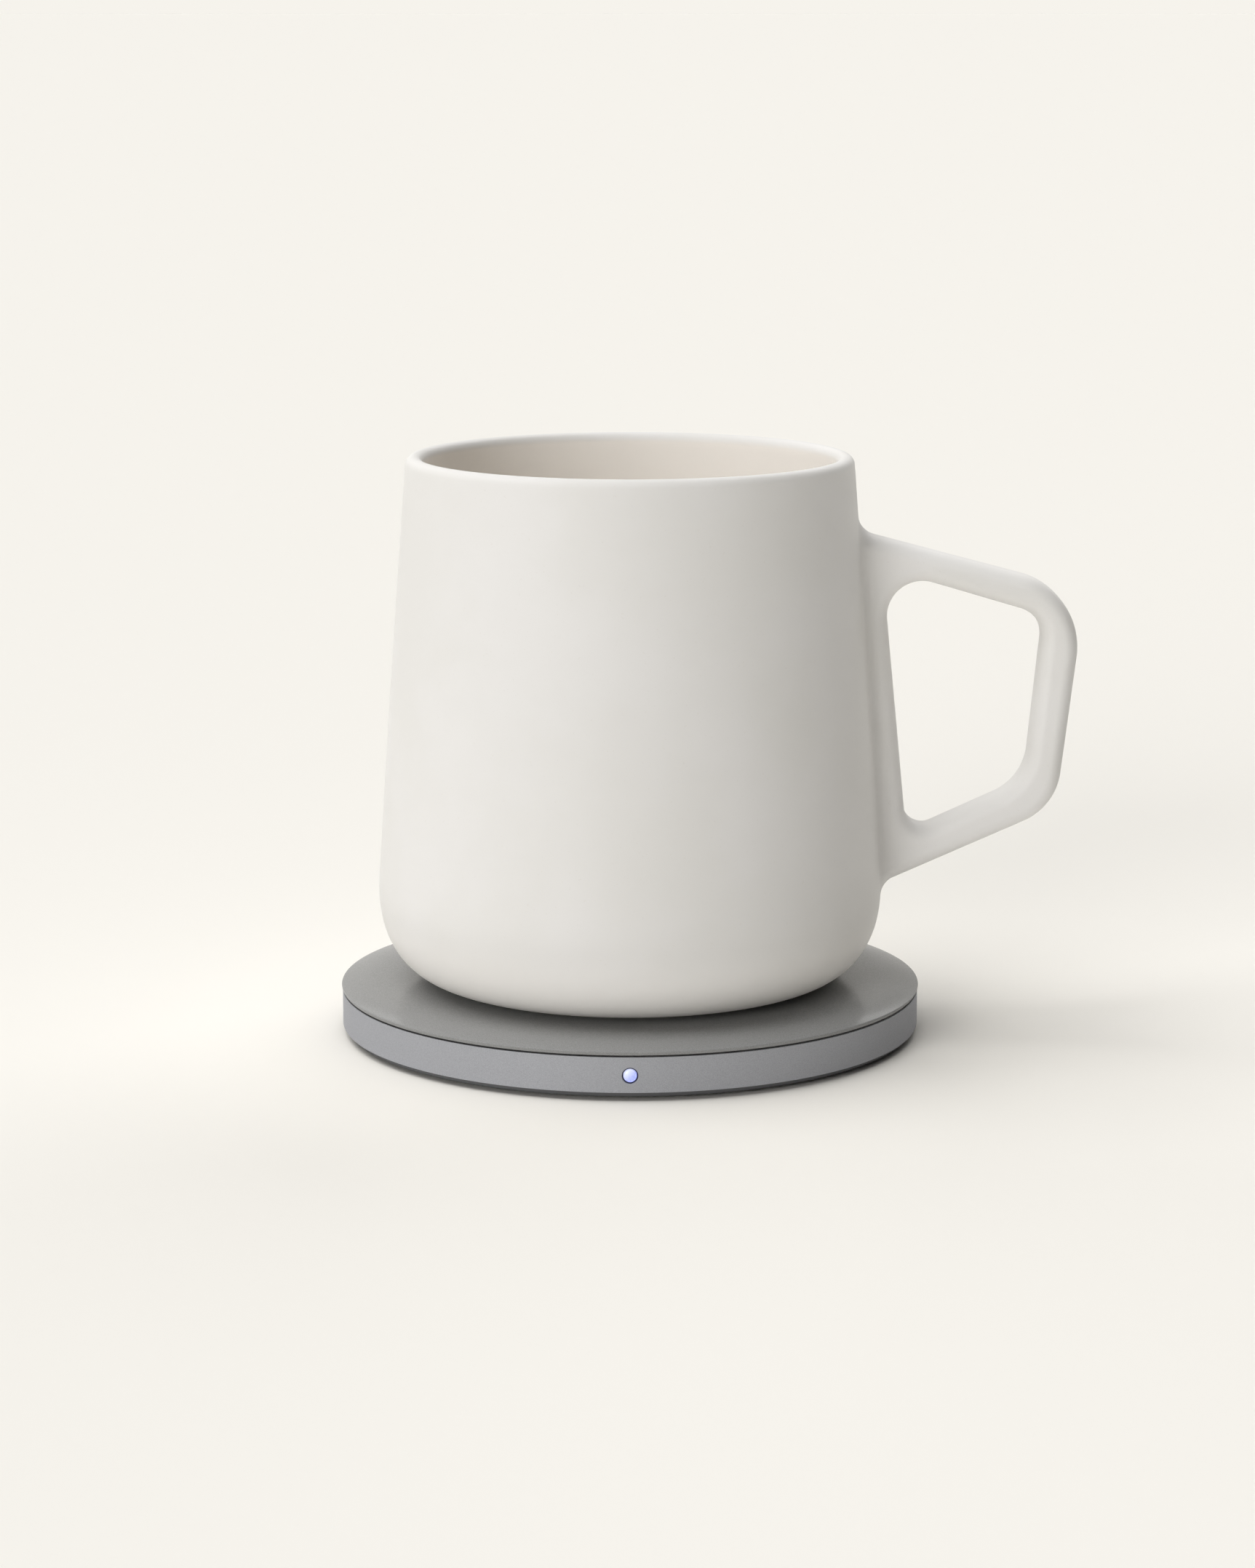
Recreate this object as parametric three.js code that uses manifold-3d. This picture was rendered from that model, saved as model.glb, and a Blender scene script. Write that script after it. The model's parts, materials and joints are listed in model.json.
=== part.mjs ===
import * as THREE from "three";
import { mergeVertices } from "three/addons/utils/BufferGeometryUtils.js";
import Module from "manifold-3d";

// A self heating mug standing on its round heating pad. Millimetres, +Z up.
// The origin is the centre of the pad's underside, on the table. The handle points along +X,
// the pad's lamp faces -Y and its charging socket faces +Y.

const wasm = await Module();
wasm.setup();

// Clearances
const fitGap = 0.3; // round a piece that sits in a pocket or passes through a hole
const snugGap = 0.08; // between the lamp's lens, its sleeve and the hole in the side ring
const restGap = 0.1; // under the mug's foot, which only rests on the pad
const overrun = 1; // how far a cutting solid runs past the faces it cuts

// Pad: foot, base plate, side ring, gasket and top cover
const padRadius = 50;
const footPadInset = 3.3; // from the base plate's edge to the foot pad's
const footPadThickness = 0.9;
const footPadEdge = 0.3;
const footStand = 0.6; // how far the foot pad stands below the base plate
const basePlateThickness = 1.5;
const ringHeight = 6.8;
const ringWall = 2;
const ringChamfer = 0.85;
const ringTopEdge = 0.15;
const ledgeThickness = 0.5; // ledge inside the ring, which rests on the base plate
const ledgeWidth = 1.2;
const gasketThickness = 0.3;
const gasketInset = 0.3; // how far the gasket lies back from the ring's outer face
const coverThickness = 1.3;
const coverOverhang = 0.15;
const coverTopFillet = 0.9;
const coverUnderEdge = 0.15;
const spigotDepth = 0.8; // rib under the cover that centres it in the ring
const spigotWidth = 1.7;

// Pad: four screws from below, under the foot pad
const screwCount = 4;
const screwInset = 5.7; // from the board's edge to the screws' circle
const screwHeadRadius = 2;
const screwHeadHeight = 1.1;
const screwShankRadius = 0.95;
const screwShankLength = 4.5;
const crossSlotLength = 2.2;
const crossSlotWidth = 0.5;
const crossSlotDepth = 0.6;
const postWall = 0.9; // wall of the base plate's posts round the screw head's pocket
const postHeight = 0.9;
const bossWall = 1.15; // wall of the cover's bosses round the screw shank
const bossRoof = 0.5; // what is left between a boss's hole and the cover's underside

// Pad: circuit board and what stands on it
const boardThickness = 0.8;
const boardEdgeGap = 1.6; // from the board's edge to the ledge
const partInset = 7.6; // from the board's edge to the circle that its parts stand on
const chipHeight = 0.9;
const controllerSide = 5;
const bridgeWidth = 5;
const bridgeLength = 6;
const capacitorWidth = 2.5;
const capacitorLength = 3.2;
const capacitorHeight = 2.2;
const inductorSide = 7;
const inductorHeight = 3;

// Pad: lamp
const lampChipWidth = 3;
const lampChipDepth = 1;
const lampChipHeight = 1;
const lampChipInset = 0.3; // from the board's edge
const lensRadius = 1.1;
const sleeveWall = 0.2;
const sleeveRecess = 0.15;
const sleeveFlangeWidth = 0.3;
const sleeveFlangeThickness = 0.8;

// Pad: charging socket
const socketWidth = 8.94;
const socketHeight = 3.26;
const socketLength = 7.3;
const socketWall = 0.3;
const socketBackWall = 0.8;
const socketRecess = 0.8; // from the ring's outer face to the socket's mouth
const tongueWidth = 6.7;
const tongueThickness = 0.7;
const tongueLength = 4.4;

// Pad: coil, its tray and the temperature sensor in its middle
const trayClearance = 3.6; // from the tray to the largest part on the board
const trayFloor = 0.7;
const trayRimWidth = 1;
const trayRimDrop = 0.2; // how far the tray's rim stays below the ferrite's top
const ferriteThickness = 0.8;
const coilMargin = 1.7; // from the ferrite's edge to the coil's
const coilInnerRadius = 10;
const coilThickness = 1.4;
const sensorRadius = 3;
const sensorPadRadius = 5;
const sensorPadThickness = 0.8;
const leadRadius = 0.4;
const leadClearance = 2.2; // from the tray to where a coil lead ends on the board
const leadBend = 1.6;

// Mug, with heights above its foot
const mugHeight = 90.9;
const lipRadius = 38.22;
const lipThickness = 3;
const bellyRadius = 43.5;
const bellyHeight = 16.26;
const bellyWall = 3.6;
const wallBow = 0.15; // how far the outer wall swells between lip and belly
const bottomRoundness = 2.164; // exponent of the round under the belly, where 2 is an ellipse
const turnInWidth = 12.3; // how far the round under the belly runs in
const turnInHeight = 0.52;
const footRingInset = 1.8; // from the end of that round to the foot ring
const footRingWidth = 3.4;
const footRingEdge = 0.3;
const floorThickness = 4.4;
const innerCornerRadius = 9;

// Mug: heating disc, pick-up coil and cap in the recess under its floor
const capInset = 0.5;
const capThickness = 1;
const pickupCoilThickness = 1.2;
const pickupCoilInnerRadius = 9;
const pickupCoilMargin = 2; // from the recess wall to the coil
const heatingDiscThickness = 0.8;

// Handle, a closed loop in the XZ plane, with heights above the mug's foot
const handleThickness = 9.6;
const handleEdge = 2.4; // rounding of its edges, in the plane of the loop
const handleEdgeDepth = 3.2; // rounding of its edges, across the loop
const upperRootHeight = 77.8;
const upperCornerReach = 34.33; // from the belly's radius
const upperCornerHeight = 67.43;
const lowerCornerReach = 30.38; // from the belly's radius
const lowerCornerRise = 13.94; // above the belly's widest height
const lowerRootRise = 0.54; // above the belly's widest height
const upperCornerRadius = 10.7;
const lowerCornerRadius = 9.2;
const upperRootFillet = 2.5;
const lowerRootFillet = 2;
const rootDepth = 8; // how deep the outline runs into the wall before the wall cuts it
const spineWidth = 4.85;
const topBarWidth = 5.05;
const sideBarWidth = 6.2;
const bottomBarWidth = 6.4;
const holeUpperInnerRadius = 5.2;
const holeUpperOuterRadius = 5.4;
const holeLowerOuterRadius = 8;
const holeLowerInnerRadius = 4.6;

// Facets
const largeRoundSegments = 72;
const mugSegments = 56;
const hiddenRoundSegments = 36;
const smallRoundSegments = 16;
const cornerSegments = 4;
const edgeSegments = 3;

// Levels above the table
const plateBottom = footStand;
const plateTop = plateBottom + basePlateThickness;
const boardBottom = plateTop + postHeight;
const boardTop = boardBottom + boardThickness;
const ringTop = plateBottom + ringHeight;
const coverBottom = ringTop + gasketThickness;
const padTop = coverBottom + coverThickness;
const ferriteBottom = boardTop + trayFloor;
const ferriteTop = ferriteBottom + ferriteThickness;
const sensorPadBottom = coverBottom - sensorPadThickness;
const lampHeight = boardTop + lampChipHeight / 2;
const socketCentreHeight = boardBottom + socketHeight / 2;
const mugFoot = padTop + restGap;

// Radii and reaches worked out from the sizes above
const ringInnerRadius = padRadius - ringWall;
const ledgeInnerRadius = ringInnerRadius - ledgeWidth;
const basePlateRadius = ringInnerRadius - fitGap;
const footPadRadius = basePlateRadius - footPadInset;
const boardRadius = ledgeInnerRadius - boardEdgeGap;
const screwCircleRadius = boardRadius - screwInset;
const partCircleRadius = boardRadius - partInset;
const trayRadius = partCircleRadius - inductorSide / 2 - trayClearance;
const trayInnerRadius = trayRadius - trayRimWidth;
const ferriteRadius = trayInnerRadius - fitGap;
const coilOuterRadius = ferriteRadius - coilMargin;
const screwHoleRadius = screwShankRadius + fitGap;
const sleeveBoreRadius = lensRadius + snugGap;
const sleeveRadius = sleeveBoreRadius + sleeveWall;
const sleeveFlangeRadius = sleeveRadius + sleeveFlangeWidth;
const lampChipFront = boardRadius - lampChipInset;
const socketMouth = padRadius - socketRecess;
const socketBack = socketMouth - socketLength;
const turnInRadius = bellyRadius - turnInWidth;
const footRingRadius = turnInRadius - footRingInset;
const recessRadius = footRingRadius - footRingWidth;
const lowerCornerHeight = bellyHeight + lowerCornerRise;
const lowerRootHeight = bellyHeight + lowerRootRise;

// Heights above the mug's foot
const capTop = capInset + capThickness;
const pickupCoilTop = capTop + pickupCoilThickness;
const recessTop = pickupCoilTop + heatingDiscThickness;
const innerFloor = recessTop + floorThickness;
const lipCentreHeight = mugHeight - lipThickness / 2;

const palette = {
  ceramic: new THREE.MeshStandardMaterial({ color: 0xece9e4, roughness: 0.45, metalness: 0 }),
  cap: new THREE.MeshStandardMaterial({ color: 0xcfcac2, roughness: 0.6, metalness: 0 }),
  anodised: new THREE.MeshStandardMaterial({ color: 0x8f9195, roughness: 0.45, metalness: 0.7 }),
  cover: new THREE.MeshStandardMaterial({ color: 0x85857f, roughness: 0.5, metalness: 0.2 }),
  black: new THREE.MeshStandardMaterial({ color: 0x161616, roughness: 0.6, metalness: 0 }),
  rubber: new THREE.MeshStandardMaterial({ color: 0x2a2a2b, roughness: 0.85, metalness: 0 }),
  lens: new THREE.MeshStandardMaterial({ color: 0xdfe6ff, roughness: 0.2, metalness: 0 }),
  steel: new THREE.MeshStandardMaterial({ color: 0xb9bbbe, roughness: 0.35, metalness: 1 }),
  copper: new THREE.MeshStandardMaterial({ color: 0xb26a3a, roughness: 0.4, metalness: 0.9 }),
  board: new THREE.MeshStandardMaterial({ color: 0x1d5a38, roughness: 0.5, metalness: 0 }),
  ferrite: new THREE.MeshStandardMaterial({ color: 0x3a3a3d, roughness: 0.7, metalness: 0 }),
  tray: new THREE.MeshStandardMaterial({ color: 0xd9d6cf, roughness: 0.6, metalness: 0 }),
  thermal: new THREE.MeshStandardMaterial({ color: 0x7fa3b8, roughness: 0.8, metalness: 0 }),
};

// Turns a closed geometry into a solid that can be joined or cut.
function toSolid(geometry) {
  const bare = geometry.clone();
  bare.deleteAttribute("normal");
  bare.deleteAttribute("uv");
  const merged = mergeVertices(bare);
  return new wasm.Manifold(
    new wasm.Mesh({
      numProp: 3,
      vertProperties: merged.getAttribute("position").array,
      triVerts: new Uint32Array(merged.index.array),
    }),
  );
}

function toGeometry(solid) {
  const { vertProperties, triVerts } = solid.getMesh();
  const geometry = new THREE.BufferGeometry();
  geometry.setAttribute("position", new THREE.BufferAttribute(vertProperties, 3));
  geometry.setIndex(new THREE.BufferAttribute(triVerts, 1));
  geometry.computeVertexNormals();
  return geometry;
}

function join(geometry, ...others) {
  return toGeometry(others.reduce((solid, other) => solid.add(toSolid(other)), toSolid(geometry)));
}

function cut(geometry, ...cutters) {
  return toGeometry(cutters.reduce((solid, cutter) => solid.subtract(toSolid(cutter)), toSolid(geometry)));
}

// A solid of revolution about Z. The profile's points are [radius, height], going up its outer side.
function turned(profile, segments) {
  const points = profile.map(([radius, height]) => new THREE.Vector2(radius, height));
  return new THREE.LatheGeometry(points, segments).rotateX(Math.PI / 2);
}

function disc(radius, thickness, segments = largeRoundSegments) {
  return turned(
    [
      [0, 0],
      [radius, 0],
      [radius, thickness],
      [0, thickness],
    ],
    segments,
  );
}

function washer(innerRadius, outerRadius, thickness, segments = largeRoundSegments) {
  return turned(
    [
      [innerRadius, 0],
      [outerRadius, 0],
      [outerRadius, thickness],
      [innerRadius, thickness],
      [innerRadius, 0],
    ],
    segments,
  );
}

// A box standing on z = 0, centred on X and Y.
function block(width, depth, height) {
  return new THREE.BoxGeometry(width, depth, height).translate(0, 0, height / 2);
}

// A bar along Y with round ends in section, from y = 0 to y = length, centred on the Y axis.
function stadiumBar(width, height, length) {
  const radius = height / 2;
  const straight = width / 2 - radius;
  const section = new THREE.Shape();
  section.absarc(straight, 0, radius, -Math.PI / 2, Math.PI / 2, false);
  section.absarc(-straight, 0, radius, Math.PI / 2, (3 * Math.PI) / 2, false);
  const bar = new THREE.ExtrudeGeometry(section, {
    depth: length,
    bevelEnabled: false,
    curveSegments: cornerSegments,
  });
  return bar.rotateX(-Math.PI / 2);
}

// A round rod along -Y, from y = -near to y = -far.
function radialRod(radius, near, far) {
  return disc(radius, far - near, smallRoundSegments)
    .rotateX(Math.PI / 2)
    .translate(0, -near, 0);
}

// Points of a quarter round, from one end to the other, about a centre in the [radius, height] plane.
function quarterRound(centreRadius, centreHeight, size, fromAngle, toAngle, steps = cornerSegments) {
  return Array.from({ length: steps + 1 }, (_, i) => {
    const angle = fromAngle + ((toAngle - fromAngle) * i) / steps;
    return [centreRadius + size * Math.cos(angle), centreHeight + size * Math.sin(angle)];
  });
}

function piece(name, geometry, material, height = 0) {
  const made = new THREE.Mesh(geometry, material);
  made.name = name;
  made.position.z = height;
  return made;
}

// The places of the screws, on their circle.
const screwPlaces = Array.from({ length: screwCount }, (_, i) => {
  const angle = ((i + 0.5) * 2 * Math.PI) / screwCount;
  return [screwCircleRadius * Math.cos(angle), screwCircleRadius * Math.sin(angle)];
});

function atScrews(makeGeometry) {
  return screwPlaces.map(([x, y]) => makeGeometry().translate(x, y, 0));
}

// Pad pieces

function footPad() {
  const profile = [
    [0, 0],
    ...quarterRound(footPadRadius - footPadEdge, footPadEdge, footPadEdge, -Math.PI / 2, 0, edgeSegments),
    [footPadRadius, footPadThickness],
    [0, footPadThickness],
  ];
  return piece("foot_pad", turned(profile, largeRoundSegments), palette.rubber);
}

function basePlate() {
  const pocketTop = footPadThickness - footStand; // above the plate's underside
  const headPocketRadius = screwHeadRadius + fitGap;
  const plate = turned(
    [
      [0, pocketTop],
      [footPadRadius + fitGap, pocketTop],
      [footPadRadius + fitGap, 0],
      [basePlateRadius, 0],
      [basePlateRadius, basePlateThickness],
      [0, basePlateThickness],
    ],
    largeRoundSegments,
  );
  const postTop = basePlateThickness + postHeight;
  const post = () =>
    disc(headPocketRadius + postWall, postTop - pocketTop, smallRoundSegments).translate(0, 0, pocketTop);
  const headPocket = () =>
    disc(headPocketRadius, basePlateThickness + overrun, smallRoundSegments).translate(0, 0, -overrun);
  const screwHole = () =>
    disc(screwHoleRadius, postTop + 2 * overrun, smallRoundSegments).translate(0, 0, -overrun);
  const withPosts = join(plate, ...atScrews(post));
  const drilled = cut(withPosts, ...atScrews(headPocket), ...atScrews(screwHole));
  return piece("base_plate", drilled, palette.black, plateBottom);
}

function sideRing() {
  const ledgeBottom = basePlateThickness; // above the ring's own underside
  const ledgeTop = ledgeBottom + ledgeThickness;
  const wall = turned(
    [
      [ringInnerRadius, 0],
      [padRadius - ringChamfer, 0],
      [padRadius, ringChamfer],
      [padRadius, ringHeight - ringTopEdge],
      [padRadius - ringTopEdge, ringHeight],
      [ringInnerRadius, ringHeight],
      [ringInnerRadius, ledgeTop],
      [ledgeInnerRadius, ledgeTop],
      [ledgeInnerRadius, ledgeBottom],
      [ringInnerRadius, ledgeBottom],
      [ringInnerRadius, 0],
    ],
    largeRoundSegments,
  ).translate(0, 0, plateBottom);
  const lampHole = radialRod(sleeveRadius + snugGap, ringInnerRadius - overrun, padRadius + overrun);
  const flangePocket = radialRod(
    sleeveFlangeRadius + fitGap,
    ledgeInnerRadius - overrun,
    ringInnerRadius,
  );
  const socketSlot = stadiumBar(
    socketWidth + 2 * fitGap,
    socketHeight + 2 * fitGap,
    padRadius - socketBack + 2 * overrun,
  ).translate(0, socketBack - overrun, socketCentreHeight);
  const ring = cut(
    wall,
    lampHole.translate(0, 0, lampHeight),
    flangePocket.translate(0, 0, lampHeight),
    socketSlot,
  );
  return piece("side_ring", ring, palette.anodised);
}

function coverGasket() {
  const gasket = washer(ringInnerRadius, padRadius - gasketInset, gasketThickness);
  return piece("cover_gasket", gasket, palette.black, ringTop);
}

function topCover() {
  const coverRadius = padRadius + coverOverhang;
  const spigotOuter = ringInnerRadius - fitGap;
  const spigotInner = spigotOuter - spigotWidth;
  const filletRadius = coverRadius - coverTopFillet;
  const filletHeight = coverThickness - coverTopFillet;
  const plate = turned(
    [
      [0, 0],
      [spigotInner, 0],
      [spigotInner, -spigotDepth],
      [spigotOuter, -spigotDepth],
      [spigotOuter, 0],
      [coverRadius - coverUnderEdge, 0],
      [coverRadius, coverUnderEdge],
      ...quarterRound(filletRadius, filletHeight, coverTopFillet, 0, Math.PI / 2),
      [0, coverThickness],
    ],
    largeRoundSegments,
  );
  const bossBottom = boardTop - coverBottom;
  const bossRadius = screwHoleRadius + bossWall;
  const boss = () =>
    disc(bossRadius, coverThickness / 2 - bossBottom, smallRoundSegments).translate(0, 0, bossBottom);
  const pilotHole = () =>
    disc(screwHoleRadius, overrun - bossBottom - bossRoof, smallRoundSegments).translate(
      0,
      0,
      bossBottom - overrun,
    );
  const cover = cut(join(plate, ...atScrews(boss)), ...atScrews(pilotHole));
  return piece("top_cover", cover, palette.cover, coverBottom);
}

function baseScrew(number, [x, y]) {
  const shaft = turned(
    [
      [0, 0],
      [screwHeadRadius, 0],
      [screwHeadRadius, screwHeadHeight],
      [screwShankRadius, screwHeadHeight],
      [screwShankRadius, screwHeadHeight + screwShankLength],
      [0, screwHeadHeight + screwShankLength],
    ],
    smallRoundSegments,
  );
  const slot = () =>
    block(crossSlotLength, crossSlotWidth, crossSlotDepth + overrun).translate(0, 0, -overrun);
  const screw = cut(shaft, slot(), slot().rotateZ(Math.PI / 2));
  const made = piece("base_screw_" + number, screw, palette.steel, plateTop - screwHeadHeight);
  made.position.x = x;
  made.position.y = y;
  return made;
}

function mainBoard() {
  const notchWidth = socketWidth + 2 * fitGap;
  const notchStart = socketBack - fitGap;
  const notchLength = padRadius - notchStart;
  const through = boardThickness + 2 * overrun;
  const notchMiddle = notchStart + notchLength / 2;
  const notch = block(notchWidth, notchLength, through).translate(0, notchMiddle, -overrun);
  const screwHole = () => disc(screwHoleRadius, through, smallRoundSegments).translate(0, 0, -overrun);
  const board = cut(disc(boardRadius, boardThickness, hiddenRoundSegments), notch, ...atScrews(screwHole));
  return piece("main_board", board, palette.board, boardBottom);
}

// A part on the board, on the parts' circle at an angle in degrees, with its width along the circle.
function boardPart(name, angleDegrees, length, width, height, material) {
  const angle = THREE.MathUtils.degToRad(angleDegrees);
  const made = piece(name, block(length, width, height), material, boardTop);
  made.position.x = partCircleRadius * Math.cos(angle);
  made.position.y = partCircleRadius * Math.sin(angle);
  made.rotation.z = angle;
  return made;
}

function boardParts() {
  const capacitorAngles = [160, 172, 188, 200];
  const bridgeAngles = [-20, 20];
  const inductorAngle = 112;
  const chargingAngle = 68;
  return [
    boardPart("controller_chip", 0, controllerSide, controllerSide, chipHeight, palette.black),
    ...bridgeAngles.map((angle, i) =>
      boardPart("bridge_chip_" + (i + 1), angle, bridgeLength, bridgeWidth, chipHeight, palette.black),
    ),
    ...capacitorAngles.map((angle, i) =>
      boardPart(
        "resonant_capacitor_" + (i + 1),
        angle,
        capacitorLength,
        capacitorWidth,
        capacitorHeight,
        palette.tray,
      ),
    ),
    boardPart(
      "power_inductor",
      inductorAngle,
      inductorSide,
      inductorSide,
      inductorHeight,
      palette.ferrite,
    ),
    boardPart("charging_chip", chargingAngle, controllerSide, controllerSide, chipHeight, palette.black),
  ];
}

function lamp() {
  const lensInnerEnd = lampChipFront + fitGap;
  const lens = piece("lamp_lens", radialRod(lensRadius, lensInnerEnd, padRadius), palette.lens, lampHeight);
  const flangeOuterEnd = ringInnerRadius - fitGap;
  const flangeInnerEnd = flangeOuterEnd - sleeveFlangeThickness;
  const tube = radialRod(sleeveRadius, flangeInnerEnd, padRadius - sleeveRecess);
  const flange = radialRod(sleeveFlangeRadius, flangeInnerEnd, flangeOuterEnd);
  const bore = radialRod(sleeveBoreRadius, flangeInnerEnd - overrun, padRadius + overrun);
  const sleeve = piece("lamp_sleeve", cut(join(tube, flange), bore), palette.black, lampHeight);
  const chip = piece(
    "lamp_chip",
    block(lampChipWidth, lampChipDepth, lampChipHeight),
    palette.tray,
    boardTop,
  );
  chip.position.y = -(lampChipFront - lampChipDepth / 2);
  return [lens, sleeve, chip];
}

function chargingSocket() {
  const shellOuter = stadiumBar(socketWidth, socketHeight, socketLength);
  const cavityLength = socketLength - socketBackWall;
  const cavity = stadiumBar(
    socketWidth - 2 * socketWall,
    socketHeight - 2 * socketWall,
    cavityLength + overrun,
  ).translate(0, socketBackWall, 0);
  const shell = piece("socket_shell", cut(shellOuter, cavity), palette.steel, socketCentreHeight);
  shell.position.y = socketBack;
  const tongueBlock = block(tongueWidth, tongueLength, tongueThickness).translate(
    0,
    tongueLength / 2,
    -tongueThickness / 2,
  );
  const tongue = piece("socket_tongue", tongueBlock, palette.black, socketCentreHeight);
  tongue.position.y = socketBack + socketBackWall;
  return [shell, tongue];
}

// A coil lead, straight out from the coil's edge, over the tray's rim and down onto the board.
function coilLead(name, angleDegrees) {
  const height = ferriteTop + coilThickness / 2 - boardTop;
  const start = new THREE.Vector3(coilOuterRadius + restGap, 0, height);
  const corner = new THREE.Vector3(trayRadius + leadClearance, 0, height);
  const bendStart = corner.clone().setX(corner.x - leadBend);
  const bendEnd = corner.clone().setZ(height - leadBend);
  const end = corner.clone().setZ(0);
  const route = new THREE.CurvePath();
  route.add(new THREE.LineCurve3(start, bendStart));
  route.add(new THREE.QuadraticBezierCurve3(bendStart, corner, bendEnd));
  route.add(new THREE.LineCurve3(bendEnd, end));
  const section = new THREE.Shape().absarc(0, 0, leadRadius, 0, 2 * Math.PI, false);
  const tube = new THREE.ExtrudeGeometry(section, {
    extrudePath: route,
    steps: 12,
    curveSegments: 4,
    bevelEnabled: false,
  });
  const lead = piece(name, toGeometry(toSolid(tube)), palette.copper, boardTop);
  lead.rotation.z = THREE.MathUtils.degToRad(angleDegrees);
  return lead;
}

function coilStack() {
  const trayRimTop = trayFloor + ferriteThickness - trayRimDrop;
  const tray = turned(
    [
      [0, 0],
      [trayRadius, 0],
      [trayRadius, trayRimTop],
      [trayInnerRadius, trayRimTop],
      [trayInnerRadius, trayFloor],
      [0, trayFloor],
    ],
    hiddenRoundSegments,
  );
  const ferrite = disc(ferriteRadius, ferriteThickness, hiddenRoundSegments);
  const coil = washer(coilInnerRadius, coilOuterRadius, coilThickness, hiddenRoundSegments);
  const sensor = disc(sensorRadius, sensorPadBottom - ferriteTop, smallRoundSegments);
  return [
    piece("coil_tray", tray, palette.tray, boardTop),
    piece("ferrite_plate", ferrite, palette.ferrite, ferriteBottom),
    piece("heating_coil", coil, palette.copper, ferriteTop),
    piece("temperature_sensor", sensor, palette.black, ferriteTop),
    piece(
      "sensor_pad",
      disc(sensorPadRadius, sensorPadThickness, smallRoundSegments),
      palette.thermal,
      sensorPadBottom,
    ),
    coilLead("coil_lead_1", 250),
    coilLead("coil_lead_2", 262),
  ];
}

function pad() {
  const group = new THREE.Group();
  group.add(footPad(), basePlate(), sideRing(), coverGasket(), topCover());
  screwPlaces.forEach((place, i) => group.add(baseScrew(i + 1, place)));
  group.add(mainBoard(), ...boardParts(), ...lamp(), ...chargingSocket(), ...coilStack());
  return group;
}

// Mug pieces, all with heights above the mug's foot

// The outer side from the foot to the lip: a round under the belly, then a slightly swelling wall.
function mugOuterSide(offset = 0) {
  const roundSteps = 9;
  const wallSteps = 4;
  const power = 2 / bottomRoundness;
  const round = Array.from({ length: roundSteps + 1 }, (_, i) => {
    const angle = (Math.PI / 2) * (1 - i / roundSteps);
    return [
      turnInRadius + offset + (bellyRadius - turnInRadius) * Math.abs(Math.cos(angle)) ** power,
      bellyHeight - (bellyHeight - turnInHeight) * Math.sin(angle) ** power,
    ];
  });
  const wall = Array.from({ length: wallSteps }, (_, i) => {
    const share = (i + 1) / wallSteps;
    const bow = wallBow * Math.sin(Math.PI * share);
    return [
      bellyRadius + offset + (lipRadius - bellyRadius) * share + bow,
      bellyHeight + (lipCentreHeight - bellyHeight) * share,
    ];
  });
  return [...round, ...wall];
}

function mugBody() {
  const lipCentre = lipRadius - lipThickness / 2;
  const innerBellyRadius = bellyRadius - bellyWall;
  const innerCornerTop = innerFloor + innerCornerRadius;
  const profile = [
    [0, recessTop],
    [recessRadius, recessTop],
    [recessRadius, footRingEdge],
    [recessRadius + footRingEdge, 0],
    [footRingRadius - footRingEdge, 0],
    [footRingRadius, footRingEdge],
    [footRingRadius, turnInHeight],
    ...mugOuterSide(),
    ...quarterRound(lipCentre, lipCentreHeight, lipThickness / 2, 0, Math.PI, 2 * cornerSegments).slice(1),
    ...quarterRound(
      innerBellyRadius - innerCornerRadius,
      innerCornerTop,
      innerCornerRadius,
      0,
      -Math.PI / 2,
    ),
    [0, innerFloor],
  ];
  return piece("mug_body", turned(profile, mugSegments), palette.ceramic);
}

// The straight line of the outer wall, as a radius at a height.
function wallRadiusAt(height) {
  const slope = (lipRadius - bellyRadius) / (lipCentreHeight - bellyHeight);
  return bellyRadius + slope * (height - bellyHeight);
}

// Where two lines meet, each given by two points in the handle's plane.
function meeting([a, b], [c, d]) {
  const first = b.clone().sub(a);
  const second = d.clone().sub(c);
  const along = c.clone().sub(a).cross(second) / first.cross(second);
  return a.clone().addScaledVector(first, along);
}

// A line moved sideways to its right by a distance.
function movedRight([a, b], distance) {
  const along = b.clone().sub(a).normalize();
  const side = new THREE.Vector2(along.y, -along.x).multiplyScalar(distance);
  return [a.clone().add(side), b.clone().add(side)];
}

// The points of a closed outline, with each corner rounded by its radius.
function roundedLoop(corners) {
  return corners.flatMap(([corner, radius], i) => {
    if (radius === 0) return [corner.clone()];
    const [before] = corners[(i + corners.length - 1) % corners.length];
    const [after] = corners[(i + 1) % corners.length];
    const back = before.clone().sub(corner).normalize();
    const ahead = after.clone().sub(corner).normalize();
    const halfAngle = Math.acos(THREE.MathUtils.clamp(back.dot(ahead), -1, 1)) / 2;
    const reach = radius / Math.tan(halfAngle);
    const middle = back.clone().add(ahead).normalize();
    const centre = corner.clone().addScaledVector(middle, radius / Math.sin(halfAngle));
    const from = corner.clone().addScaledVector(back, reach).sub(centre);
    const to = corner.clone().addScaledVector(ahead, reach).sub(centre);
    const sweep = Math.atan2(from.cross(to), from.dot(to));
    return Array.from({ length: cornerSegments + 1 }, (_, step) =>
      from.clone().rotateAround(new THREE.Vector2(), (sweep * step) / cornerSegments).add(centre),
    );
  });
}

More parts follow.
